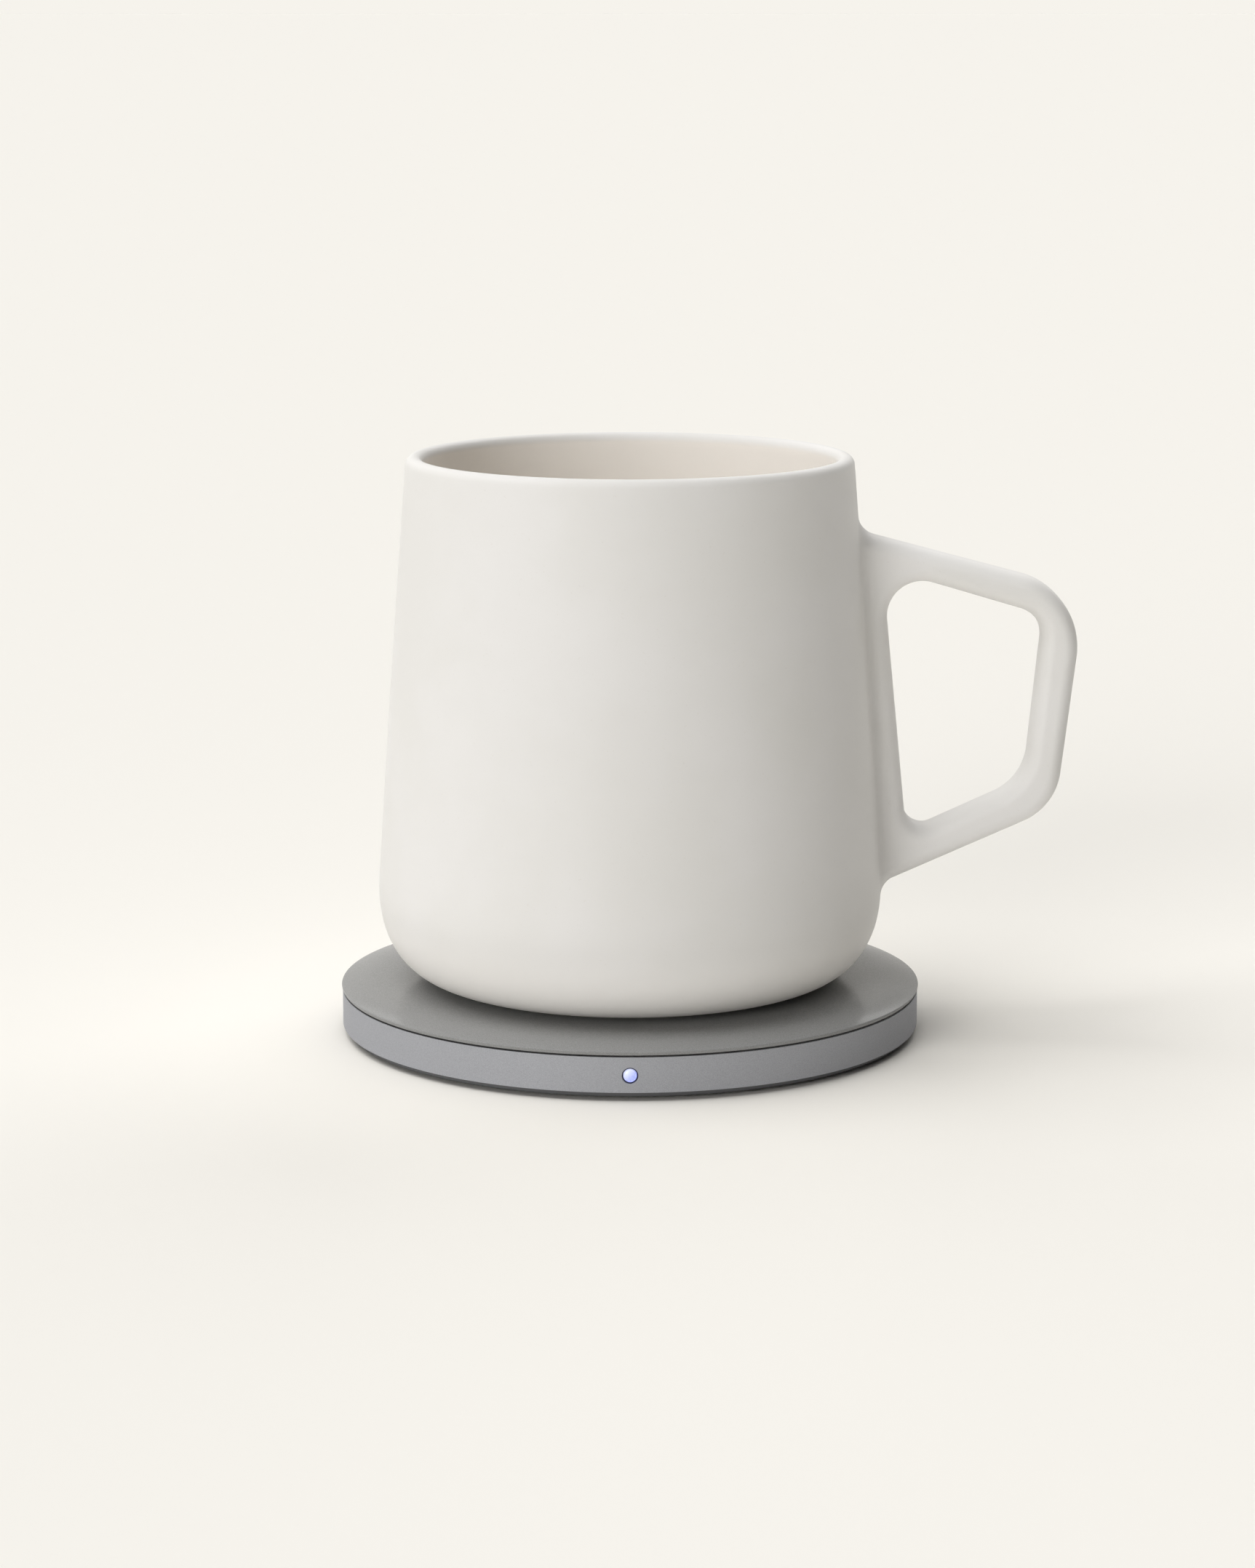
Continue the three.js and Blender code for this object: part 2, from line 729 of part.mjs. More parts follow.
function mugHandle() {
  const at = (reach, height) => new THREE.Vector2(reach, height);
  const upperRoot = at(wallRadiusAt(upperRootHeight), upperRootHeight);
  const lowerRoot = at(wallRadiusAt(lowerRootHeight), lowerRootHeight);
  const upperCorner = at(bellyRadius + upperCornerReach, upperCornerHeight);
  const lowerCorner = at(bellyRadius + lowerCornerReach, lowerCornerHeight);
  const crown = upperRootHeight + 2 * upperRootFillet;
  const heel = lowerRootHeight - 2 * lowerRootFillet;
  const heelReach = lowerRoot.x - 2 * fitGap; // the belly turns in below the root
  const outline = [
    [at(wallRadiusAt(crown) - rootDepth, crown), 0],
    [at(wallRadiusAt(crown), crown), 0],
    [upperRoot, upperRootFillet],
    [upperCorner, upperCornerRadius],
    [lowerCorner, lowerCornerRadius],
    [lowerRoot, lowerRootFillet],
    [at(heelReach, heel), 0],
    [at(heelReach - rootDepth, heel), 0],
  ];
  const topLine = movedRight([upperRoot, upperCorner], topBarWidth);
  const sideLine = movedRight([upperCorner, lowerCorner], sideBarWidth);
  const bottomLine = movedRight([lowerCorner, lowerRoot], bottomBarWidth);
  const spineLine = movedRight([lowerRoot, upperRoot], spineWidth);
  const hole = [
    [meeting(spineLine, topLine), holeUpperInnerRadius],
    [meeting(topLine, sideLine), holeUpperOuterRadius],
    [meeting(sideLine, bottomLine), holeLowerOuterRadius],
    [meeting(bottomLine, spineLine), holeLowerInnerRadius],
  ];
  const shape = new THREE.Shape(roundedLoop(outline));
  shape.holes.push(new THREE.Path(roundedLoop(hole).reverse()));
  const loop = new THREE.ExtrudeGeometry(shape, {
    depth: handleThickness - 2 * handleEdgeDepth,
    bevelSize: handleEdge,
    bevelOffset: -handleEdge,
    bevelThickness: handleEdgeDepth,
    bevelSegments: edgeSegments,
  })
    .translate(0, 0, handleEdgeDepth - handleThickness / 2)
    .rotateX(Math.PI / 2);
  const wall = turned([[0, 0], ...mugOuterSide(fitGap), [0, lipCentreHeight]], mugSegments);
  return piece("mug_handle", cut(loop, wall), palette.ceramic);
}

function mugBase() {
  const insertRadius = recessRadius - fitGap;
  const coilRadius = recessRadius - pickupCoilMargin;
  const cap = disc(insertRadius, capThickness, mugSegments);
  const coil = washer(pickupCoilInnerRadius, coilRadius, pickupCoilThickness, hiddenRoundSegments);
  const heatingDisc = disc(insertRadius, heatingDiscThickness, hiddenRoundSegments);
  return [
    piece("base_cap", cap, palette.cap, capInset),
    piece("pickup_coil", coil, palette.copper, capTop),
    piece("heating_disc", heatingDisc, palette.steel, pickupCoilTop),
  ];
}

function mug() {
  const group = new THREE.Group();
  group.add(mugBody(), mugHandle(), ...mugBase());
  group.position.z = mugFoot;
  return group;
}

const selfHeatingMug = new THREE.Group();
selfHeatingMug.add(pad(), mug());

export default selfHeatingMug;
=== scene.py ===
# %% [markdown]
# # A self heating mug on its heating pad
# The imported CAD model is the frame: every piece made here takes the place of one of its solids, in the
# same metres and the same axes. The front is -Y, the handle points along +X, and Z is up.

# %% Open the frame
import math
import bmesh
import bpy
import numpy as np
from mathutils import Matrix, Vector
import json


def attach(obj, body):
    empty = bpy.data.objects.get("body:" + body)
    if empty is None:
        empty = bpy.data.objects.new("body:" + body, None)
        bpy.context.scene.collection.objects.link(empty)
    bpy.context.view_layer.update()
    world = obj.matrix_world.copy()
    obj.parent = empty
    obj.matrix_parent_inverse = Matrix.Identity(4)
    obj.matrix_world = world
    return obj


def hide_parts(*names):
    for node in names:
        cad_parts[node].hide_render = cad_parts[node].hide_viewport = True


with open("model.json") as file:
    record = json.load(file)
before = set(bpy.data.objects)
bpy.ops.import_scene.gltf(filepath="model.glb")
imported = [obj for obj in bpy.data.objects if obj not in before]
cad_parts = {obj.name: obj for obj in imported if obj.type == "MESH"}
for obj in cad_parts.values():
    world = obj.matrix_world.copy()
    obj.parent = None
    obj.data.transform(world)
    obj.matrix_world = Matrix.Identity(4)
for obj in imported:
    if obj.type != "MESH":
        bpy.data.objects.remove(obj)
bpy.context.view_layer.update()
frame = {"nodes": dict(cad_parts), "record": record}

MM = 0.001

# %% [markdown]
# ## The camera
# A product shot like this is taken from about 70 cm with a long lens, a little above the rim. The camera is
# placed first, because everything that follows is judged through it.

# %% Camera
camera = bpy.data.objects.new("camera", bpy.data.cameras.new("camera"))
bpy.context.scene.collection.objects.link(camera)
LOOKS_DOWN = 11.022
camera.location = Vector((-0.43, -672.83, 173.93)) * MM
camera.rotation_euler = (math.radians(90 - LOOKS_DOWN), 0, 0)
camera.data.lens = 91.0
camera.data.sensor_width = 36
camera.data.clip_start = 0.01
camera.data.clip_end = 1000
bpy.context.scene.camera = camera
bpy.context.scene.view_settings.view_transform = "Standard"

# %% [markdown]
# ## Floor, world and lamps
# The mug stands in a white studio. The floor is one large sheet of pale paper, and the world has the same
# colour, so that no horizon shows. Five very large soft lamps light it: from above, from the left, low from
# the front left, and weaker ones from behind at both sides. They are suns with a wide angle: their light
# doesn't fall off across the floor, which keeps it one even tone.

# %% Studio
PAPER = (0.922, 0.896, 0.840, 1)
SHADED_PAPER = (0.90, 0.88, 0.84, 1)


def light_from(name, bearing, height, strength, softness):
    """A soft lamp; its bearing goes from the front towards the left."""
    lamp = bpy.data.objects.new(name, bpy.data.lights.new(name, "SUN"))
    bpy.context.scene.collection.objects.link(lamp)
    side, up = math.radians(bearing), math.radians(height)
    towards = Vector((-math.sin(side) * math.cos(up), -math.cos(side) * math.cos(up), math.sin(up)))
    lamp.rotation_euler = towards.to_track_quat("Z", "Y").to_euler()
    lamp.data.energy = strength
    lamp.data.angle = math.radians(softness)


light_from("top_lamp", 0, 90, 0.80, 45)
light_from("side_lamp", 90, 62, 1.50, 45)
light_from("key_lamp", 30, 14, 1.34, 30)
light_from("back_left_lamp", 150, 35, 0.48, 45)
light_from("back_right_lamp", -150, 35, 0.73, 45)


def seen_directly(nodes, links):
    """1 for what the camera sees, also in a mirror or through glass, and 0 for stray light."""
    path = nodes.new("ShaderNodeLightPath")
    seen = nodes.new("ShaderNodeMath")
    seen_through = nodes.new("ShaderNodeMath")
    seen.operation = seen_through.operation = "MAXIMUM"
    links.new(path.outputs["Is Camera Ray"], seen.inputs[0])
    links.new(path.outputs["Is Glossy Ray"], seen.inputs[1])
    links.new(seen.outputs[0], seen_through.inputs[0])
    links.new(path.outputs["Is Transmission Ray"], seen_through.inputs[1])
    return seen_through.outputs[0]


def paper_look(owner, shader_kind, stray_colour, output_kind):
    """The paper's tone for what the camera sees, and another colour for the light that it gives back."""
    owner.use_nodes = True
    nodes, links = owner.node_tree.nodes, owner.node_tree.links
    nodes.clear()
    pick = nodes.new("ShaderNodeMixShader")
    links.new(seen_directly(nodes, links), pick.inputs["Fac"])
    for socket, colour in ((1, stray_colour), (2, PAPER)):
        shader = nodes.new(shader_kind)
        shader.inputs["Color"].default_value = colour
        links.new(shader.outputs[0], pick.inputs[socket])
    links.new(pick.outputs[0], nodes.new(output_kind).inputs["Surface"])


world = bpy.data.worlds.new("studio")
bpy.context.scene.world = world
paper_look(world, "ShaderNodeBackground", (0, 0, 0, 1), "ShaderNodeOutputWorld")

bpy.ops.mesh.primitive_circle_add(vertices=64, radius=400, fill_type="NGON")
floor = bpy.context.object
floor.name = "paper_floor"
floor_paper = bpy.data.materials.new("floor_paper")
paper_look(floor_paper, "ShaderNodeBsdfDiffuse", SHADED_PAPER, "ShaderNodeOutputMaterial")
floor.data.materials.append(floor_paper)

# %% [markdown]
# ## Finishes
# A finish is built of nodes that read the piece's own coordinates in metres, so a grain has its real width
# from any side and in any pose.

# %% Helpers for finishes
MOST = (0.3, 0.7)  # most of a noise's values lie between these two


class Finish:
    """A material with its shader, and short words for the nodes that most finishes need."""

    def __init__(self, name, colour, roughness, metallic=0.0, specular=0.5):
        self.material = bpy.data.materials.new(name)
        self.material.use_nodes = True
        self.nodes = self.material.node_tree.nodes
        self.links = self.material.node_tree.links
        self.shader = self.nodes["Principled BSDF"]
        self.shader.inputs["Base Color"].default_value = (*colour, 1)
        self.shader.inputs["Roughness"].default_value = roughness
        self.shader.inputs["Metallic"].default_value = metallic
        self.shader.inputs["Specular IOR Level"].default_value = specular
        self.where = self.nodes.new("ShaderNodeTexCoord").outputs["Object"]

    def link(self, source, target):
        self.links.new(source, target)

    def noise(self, scale, detail=2.0, roughness=0.5, distortion=0.0):
        node = self.nodes.new("ShaderNodeTexNoise")
        node.inputs["Scale"].default_value = scale
        node.inputs["Detail"].default_value = detail
        node.inputs["Roughness"].default_value = roughness
        node.inputs["Distortion"].default_value = distortion
        self.link(self.where, node.inputs["Vector"])
        return node.outputs["Fac"]

    def cells(self, scale):
        node = self.nodes.new("ShaderNodeTexVoronoi")
        node.inputs["Scale"].default_value = scale
        self.link(self.where, node.inputs["Vector"])
        return node.outputs["Distance"]

    def maths(self, operation, first, second=0.0):
        node = self.nodes.new("ShaderNodeMath")
        node.operation = operation
        for socket, value in zip(node.inputs, (first, second)):
            if hasattr(value, "is_output"):
                self.link(value, socket)
            else:
                socket.default_value = value
        return node.outputs[0]

    def between(self, value, low, high, to_low=0.0, to_high=1.0):
        """A smooth step from one value to another while the source goes from low to high."""
        node = self.nodes.new("ShaderNodeMapRange")
        node.interpolation_type = "SMOOTHSTEP"
        node.inputs["From Min"].default_value = low
        node.inputs["From Max"].default_value = high
        node.inputs["To Min"].default_value = to_low
        node.inputs["To Max"].default_value = to_high
        self.link(value, node.inputs["Value"])
        return node.outputs["Result"]

    def blend(self, factor, first, second):
        """A colour between two others, each a colour or a socket."""
        node = self.nodes.new("ShaderNodeMix")
        node.data_type = "RGBA"
        self.link(factor, node.inputs["Factor"])
        colour_inputs = [s for s in node.inputs if s.type == "RGBA"]
        for socket, value in zip(colour_inputs, (first, second)):
            if hasattr(value, "is_output"):
                self.link(value, socket)
            else:
                socket.default_value = (*value, 1)
        return [s for s in node.outputs if s.type == "RGBA"][0]

    def colour(self, source):
        self.link(source, self.shader.inputs["Base Color"])

    def rough(self, source):
        self.link(source, self.shader.inputs["Roughness"])

    def bump(self, height, distance, strength):
        node = self.nodes.new("ShaderNodeBump")
        node.inputs["Distance"].default_value = distance
        node.inputs["Strength"].default_value = strength
        self.link(height, node.inputs["Height"])
        self.link(node.outputs["Normal"], self.shader.inputs["Normal"])

    def axes(self):
        node = self.nodes.new("ShaderNodeSeparateXYZ")
        self.link(self.where, node.inputs[0])
        return node.outputs

    def radius(self):
        """The distance from the Z axis, in metres."""
        x, y, _ = self.axes()
        square = self.maths("ADD", self.maths("MULTIPLY", x, x), self.maths("MULTIPLY", y, y))
        return self.maths("SQRT", square)


def linear(r, g, b):
    """A colour as a picture shows it, from 0 to 255, in the linear values that a shader wants."""
    return tuple((c / 255 / 12.92) if c <= 10 else ((c / 255 + 0.055) / 1.055) ** 2.4 for c in (r, g, b))


# %% [markdown]
# ### Glazed stoneware
# The mug is cast in an off-white body and sprayed with a satin glaze. Such a glaze is not one flat tone: it
# is a little warmer where it runs thin, and it has a very fine orange peel. The foot ring is wiped clean
# before firing, so it shows the bare, matt clay. Inside the mug and low on the belly the glaze is painted
# lighter: that is painted light. Heights and radii here are in metres above the floor and from the mug's
# axis.

# %% Finish: glazed stoneware
INNER_AT_FLOOR, INNER_LEAN = 0.04190, -0.0642
PAINTED_INSIDE_LIGHT_BEGINS, PAINTED_INSIDE_LIGHT_ENDS = (0.0180, 0.0190), (0.0982, 0.0994)
PAINTED_UNDERSIDE_LIGHT_BELOW = (0.0115, 0.0235)
BARE_BELOW, BARE_OUTSIDE = (0.00945, 0.00955), (0.0259, 0.0260)
glaze = Finish("satin_glaze", linear(232, 230, 225), 0.5, specular=0.15)
clouds = glaze.between(glaze.noise(38, 3), 0.35, 0.65)
tone = glaze.blend(clouds, linear(233, 231, 228), linear(230, 228, 224))
freckles = glaze.between(glaze.noise(2600, 1), 0.70, 0.78)
tone = glaze.blend(glaze.maths("MULTIPLY", freckles, 0.25), tone, linear(219, 214, 205))
_, _, glaze_height = glaze.axes()
glaze_radius = glaze.radius()
inner_wall = glaze.maths("ADD", glaze.maths("MULTIPLY", glaze_height, INNER_LEAN), INNER_AT_FLOOR)
# Painted light: the inside of the mug, from just above its floor to just below the lip, is painted lighter
# than the outside.
painted_inside_light = glaze.between(glaze.maths("SUBTRACT", inner_wall, glaze_radius), -0.0004, 0.0)
painted_inside_light = glaze.maths("MULTIPLY", painted_inside_light, glaze.between(glaze_height, *PAINTED_INSIDE_LIGHT_BEGINS))
painted_inside_light = glaze.maths("MULTIPLY", painted_inside_light, glaze.between(glaze_height, *PAINTED_INSIDE_LIGHT_ENDS, 1.0, 0.0))
# Painted light: low on the belly, towards the underside, the glaze is painted lighter.
painted_underside_light = glaze.between(glaze_height, *PAINTED_UNDERSIDE_LIGHT_BELOW, 1.0, 0.0)
tone = glaze.blend(painted_underside_light, tone, linear(251, 248, 243))
tone = glaze.blend(painted_inside_light, tone, linear(253, 248, 241))
foot_ring_zone = glaze.maths(
    "MULTIPLY",
    glaze.between(glaze_height, *BARE_BELOW, 1.0, 0.0),
    glaze.between(glaze_radius, *BARE_OUTSIDE),
)
clay = glaze.blend(glaze.noise(1800, 3), linear(214, 205, 190), linear(196, 186, 170))
glaze.colour(glaze.blend(foot_ring_zone, tone, clay))
glaze_roughness = glaze.between(glaze.noise(70, 2), *MOST, 0.46, 0.54)
glaze.rough(glaze.maths("MAXIMUM", glaze_roughness, glaze.maths("MULTIPLY", foot_ring_zone, 0.9)))
glaze.bump(glaze.noise(900, 2), 0.00002, 0.12)

# %% [markdown]
# ### The pad's cover
# The cover is moulded in a grey plastic and has a thin satin coating over a fine grain. It mirrors the mug
# and the room softly at a low angle, so it is smoother than it looks from above.

# %% Finish: satin cover coating
satin = Finish("satin_cover", linear(146, 146, 145), 0.15, specular=0.05)
grain = satin.noise(6500, 2, 0.6)
satin.colour(satin.blend(satin.between(grain, *MOST), linear(137, 137, 136), linear(155, 155, 154)))
satin.rough(satin.between(satin.noise(9000, 1), *MOST, 0.12, 0.18))
satin.bump(grain, 0.00001, 0.3)

# %% [markdown]
# ### Anodised aluminium
# The ring is turned, bead blasted and anodised in a neutral grey. Blasting leaves tiny dents that each catch
# the light in their own way, so both the tone and the bump are a fine noise.

# %% Finish: anodised aluminium
PAINTED_CHAMFER_SHADE_BELOW = (0.00142, 0.00146)
anodised = Finish("blasted_anodised", linear(168, 169, 172), 0.5, 0.12, specular=0.05)
anodised.shader.inputs["Specular Tint"].default_value = (0.1, 0.1, 0.12, 1)
dents = anodised.noise(7500, 2, 0.6)
blasted_tone = anodised.blend(anodised.between(dents, *MOST), linear(157, 158, 162), linear(174, 175, 179))
_, _, ring_height = anodised.axes()
# Painted shade: the bottom chamfer, which faces the floor under the ring, is painted a darker grey.
painted_chamfer_shade = anodised.between(ring_height, *PAINTED_CHAMFER_SHADE_BELOW, 1.0, 0.0)
anodised.colour(anodised.blend(painted_chamfer_shade, blasted_tone, linear(104, 105, 107)))
anodised.rough(anodised.between(anodised.noise(2500, 1), *MOST, 0.45, 0.55))
anodised.bump(dents, 0.00001, 0.3)

# %% [markdown]
# ### The lamp
# The lens is frosted and glows blue-white: whitest towards its upper left, where the light source sits
# behind it, and more violet towards its lower edge. A dark tube keeps the light out of the ring's edge.

# %% Finish: lamp lens and sleeve
WHITER_FROM_TO = (0.0034, 0.0054)  # height minus place to the right, in metres
lens_glow = Finish("lamp_glow", linear(150, 158, 225), 0.25)
glow_x, _, glow_z = lens_glow.axes()
slant = lens_glow.maths("SUBTRACT", glow_z, glow_x)
glow_place = lens_glow.between(slant, *WHITER_FROM_TO)
glow_tone = lens_glow.blend(glow_place, linear(158, 170, 250), linear(240, 244, 255))
wisps = lens_glow.between(lens_glow.noise(2200, 3, 0.6, distortion=1.5), 0.35, 0.75)
glow_tone = lens_glow.blend(lens_glow.maths("MULTIPLY", wisps, 0.5), glow_tone, linear(214, 220, 255))
lens_glow.colour(lens_glow.blend(wisps, linear(142, 150, 216), linear(158, 166, 232)))
lens_glow.link(glow_tone, lens_glow.shader.inputs["Emission Color"])
lens_glow.shader.inputs["Emission Strength"].default_value = 0.62

# Painted glow and shade: the black tube is tinted navy by painted blue glow from the lamp, and its ring
# stands for the shaded gap.
sleeve_painted_glow = Finish("sleeve_painted_glow", linear(22, 26, 62), 0.25)
sleeve_painted_glow.colour(sleeve_painted_glow.blend(sleeve_painted_glow.noise(3000, 2), linear(14, 17, 46), linear(26, 31, 74)))

# %% [markdown]
# ### Plain and hidden finishes
# The pieces inside the pad and under the mug are finished too, for whoever takes the model apart. They all
# have a slight grain and an uneven gloss.

# %% Finish: moulded and plain stuffs
def moulded(name, dark, light, roughness, scale, depth, metallic=0.0):
    """A finish with a fine grain: two near tones, an uneven gloss and a shallow bump."""
    made = Finish(name, dark, roughness, metallic)
    fine = made.noise(scale, 3, 0.6)
    made.colour(made.blend(made.between(fine, *MOST), dark, light))
    gloss = made.noise(scale / 3, 2)
    made.rough(made.between(gloss, *MOST, roughness * 0.85, min(1, roughness * 1.15)))
    made.bump(fine, depth, 0.5)
    return made


foot_rubber = moulded("foot_silicone", linear(34, 34, 36), linear(44, 44, 46), 0.8, 3000, 0.00003)
# Painted shade: the seam is a black gasket, painted darker than black plastic so that it reads as the shaded
# gap.
seam_painted_shade = moulded("seam_black_painted_shade", linear(6, 6, 7), linear(12, 12, 13), 0.8, 3000, 0.00002)
black_plastic = moulded("black_plastic", linear(24, 24, 25), linear(34, 34, 35), 0.5, 3500, 0.00003)
white_plastic = moulded("white_plastic", linear(226, 223, 215), linear(216, 212, 203), 0.5, 1500, 0.00002)
cap_plastic = moulded("base_cap_plastic", linear(205, 200, 192), linear(213, 208, 200), 0.55, 2500, 0.00003)
ferrite_stuff = moulded("ferrite", linear(52, 52, 55), linear(64, 63, 66), 0.6, 2200, 0.00003)
thermal_stuff = moulded("thermal_pad", linear(122, 160, 180), linear(136, 172, 190), 0.8, 2600, 0.00004)

# %% [markdown]
# ### Metals and boards
# Turned steel keeps the fine rings of the tool, wound copper shows its turns, and a circuit board has
# lighter tracks under its green mask.

# %% Finish: steel, copper and circuit board
LATHE_RINGS, COPPER_PITCH = 45000, 0.00085

steel = Finish("plated_steel", linear(190, 191, 194), 0.32, 1.0)
lathe_rings = steel.maths("SINE", steel.maths("MULTIPLY", steel.radius(), LATHE_RINGS))
steel.colour(steel.blend(steel.noise(900, 3), linear(180, 181, 185), linear(202, 203, 206)))
steel.rough(steel.between(steel.noise(1500, 2), *MOST, 0.26, 0.40))
steel.bump(lathe_rings, 0.000004, 0.4)

heating_steel = Finish("heating_steel", linear(176, 177, 180), 0.38, 1.0)
scale_marks = heating_steel.noise(400, 4)
heating_steel.colour(heating_steel.blend(scale_marks, linear(164, 165, 168), linear(192, 192, 195)))
heating_steel.rough(heating_steel.between(heating_steel.noise(800, 2), *MOST, 0.32, 0.46))
heating_steel.bump(heating_steel.noise(2500, 3), 0.00001, 0.3)

copper = Finish("wound_copper", linear(196, 120, 72), 0.36, 1.0)
turns = copper.maths("SINE", copper.maths("MULTIPLY", copper.radius(), 2 * math.pi / COPPER_PITCH))
strands = copper.noise(4200, 2)
strand_tone = copper.blend(strands, linear(184, 106, 60), linear(214, 138, 88))
copper.colour(copper.blend(copper.between(turns, -0.9, 0.2), linear(96, 50, 28), strand_tone))
copper.bump(copper.maths("ADD", turns, copper.maths("MULTIPLY", strands, 0.5)), 0.0001, 0.8)

board_mask = Finish("circuit_board", linear(24, 84, 52), 0.35)
tracks = board_mask.nodes.new("ShaderNodeTexBrick")
tracks.inputs["Scale"].default_value = 300
board_mask.link(board_mask.where, tracks.inputs["Vector"])
vias = board_mask.between(board_mask.cells(420), 0.08, 0.14, 1.0, 0.0)
board_tone = board_mask.blend(tracks.outputs["Fac"], linear(22, 80, 50), linear(38, 108, 68))
board_mask.colour(board_mask.blend(vias, board_tone, linear(196, 178, 120)))
board_mask.bump(tracks.outputs["Fac"], 0.00003, 0.5)

gold = moulded("contact_gold", linear(214, 176, 96), linear(226, 190, 112), 0.3, 1800, 0.00001, 1.0)
print("finishes made", len(bpy.data.materials))

# %% [markdown]
# ## Helpers for modelling
# Modelling by hand is a chain of a few moves: select an object, select some of its faces by eye, and use a
# tool on them. Here the eye is a rule on a face's place or direction.

# %% Helpers for modelling
def alone(piece):
    """Makes a piece the one selected object, in object mode."""
    if bpy.context.mode != "OBJECT":
        bpy.ops.object.mode_set(mode="OBJECT")
    bpy.ops.object.select_all(action="DESELECT")
    piece.select_set(True)
    bpy.context.view_layer.objects.active = piece


def named(name):
    """Names the newest object and its mesh."""
    piece = bpy.context.object
    piece.name = piece.data.name = name
    return piece


def settle_place(piece):
    """Puts the object's place and turn into its mesh."""
    alone(piece)
    bpy.ops.object.transform_apply(location=True, rotation=True, scale=True)


def edit_all(piece):
    """Opens edit mode with everything selected."""
    alone(piece)
    bpy.ops.object.mode_set(mode="EDIT")
    bpy.ops.mesh.select_all(action="SELECT")


def select(piece, kind, rule):
    """Opens edit mode with just those vertices, edges or faces selected that a rule accepts."""
    alone(piece)
    bpy.ops.object.mode_set(mode="EDIT")
    bpy.context.tool_settings.mesh_select_mode = (kind == "verts", kind == "edges", kind == "faces")
    bpy.ops.mesh.select_all(action="DESELECT")
    shape = bmesh.from_edit_mesh(piece.data)
    chosen = [item for item in getattr(shape, kind) if rule(item)]
    for item in chosen:
        item.select_set(True)
    shape.select_flush_mode()
    bmesh.update_edit_mesh(piece.data)
    return len(chosen)


def round_edges(piece, rule, size, segments):
    """Bevels the edges that a rule accepts; the size is in mm."""
    select(piece, "edges", rule)
    bpy.ops.mesh.bevel(offset=size * MM, segments=segments, profile=0.5, affect="EDGES")
    bpy.ops.object.mode_set(mode="OBJECT")


def merge_into(piece, other):
    """Joins another object into a piece, as two parts of one mesh."""
    alone(other)
    piece.select_set(True)
    bpy.context.view_layer.objects.active = piece
    bpy.ops.object.join()


def apply_modifier(piece, kind, **settings):
    """Adds a modifier with these settings and applies it."""
    alone(piece)
    modifier = piece.modifiers.new(kind.title(), kind)
    for key, value in settings.items():
        setattr(modifier, key, value)
    bpy.ops.object.modifier_apply(modifier=modifier.name)


def join_on(piece, tool, operation):
    """Adds or cuts away another object, which is used up."""
    apply_modifier(piece, "BOOLEAN", object=tool, operation=operation, solver="EXACT")
    bpy.data.objects.remove(tool)


def shade(piece, degrees=35):
    """Smooth shading with crisp edges, weighted so that flat faces look flat."""
    alone(piece)
    bpy.ops.object.shade_smooth_by_angle(angle=math.radians(degrees))
    apply_modifier(piece, "WEIGHTED_NORMAL", mode="FACE_AREA", weight=50, keep_sharp=True)


def both_ends(rule):
    """A rule for an edge that asks the same of both its ends."""
    return lambda edge: rule(edge.verts[0].co) and rule(edge.verts[1].co)


def tidy_mesh(piece, gap=1e-7):
    """Merges doubles and turns all faces outwards."""
    edit_all(piece)
    bpy.ops.mesh.remove_doubles(threshold=gap)
    bpy.ops.mesh.normals_make_consistent(inside=False)
    bpy.ops.object.mode_set(mode="OBJECT")


def finished(piece, finish, body, slot, *replaced):
    """Gives a piece its finish and ties it to the frame."""
    piece.data.materials.clear()
    piece.data.materials.append(finish.material)
    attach(piece, body)
    if replaced:
        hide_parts(*replaced)
    piece.data.update()
    size = [round(d / MM, 2) for d in piece.dimensions]
    print(piece.name, len(piece.data.polygons), "faces,", size, "mm")


def drawn(name, points):
    """A profile in the XZ plane, drawn point by point with extrude; points are (x, z) in mm."""
    bpy.ops.mesh.primitive_plane_add(size=0.001)
    piece = named(name)
    bpy.ops.object.mode_set(mode="EDIT")
    bpy.context.tool_settings.mesh_select_mode = (True, False, False)
    bpy.ops.mesh.select_all(action="SELECT")
    bpy.ops.mesh.merge(type="CENTER")
    start = Vector((points[0][0], 0, points[0][1])) * MM
    bpy.ops.transform.translate(value=start)
    for (x, z), (next_x, next_z) in zip(points, points[1:]):
        step = Vector((next_x - x, 0, next_z - z)) * MM
        bpy.ops.mesh.extrude_region_move(TRANSFORM_OT_translate={"value": step})
    bpy.ops.object.mode_set(mode="OBJECT")
    return piece


def turned(name, points, steps=256):
    """A profile spun about Z, as on a lathe or a potter's wheel."""
    piece = drawn(name, points)
    edit_all(piece)
    bpy.ops.mesh.spin(steps=steps, angle=2 * math.pi, center=(0, 0, 0), axis=(0, 0, 1))
    tidy_mesh(piece)
    return piece


def arc(centre_x, centre_z, size, from_degrees, to_degrees, steps):
    """Points of an arc in the XZ plane, in mm."""
    angles = np.radians(np.linspace(from_degrees, to_degrees, steps + 1))
    return [(centre_x + size * math.cos(a), centre_z + size * math.sin(a)) for a in angles]


# %% [markdown]
# ## The mug's body
# A mug like this is slip cast or jiggered: one profile turned about an axis. It has a foot ring, a large
# round under the belly, a wall that leans in by 4 degrees and swells a hair, and a lip of 3 mm that is
# fully round. The profile is worked out finely, its tangent breaks are eased as the glaze would ease them,
# and it is then spun.

# %% Mug profile, outside
FOOT = 9.1
BELLY_RADIUS, BELLY_HEIGHT = 43.5, 16.26
TURN_IN_RADIUS, TURN_IN_HEIGHT = 31.2, 0.52
LIP_RADIUS, LIP_HEIGHT, LIP_ROUND = 38.22, 89.4, 1.5
ROUNDNESS = 2 / 2.164

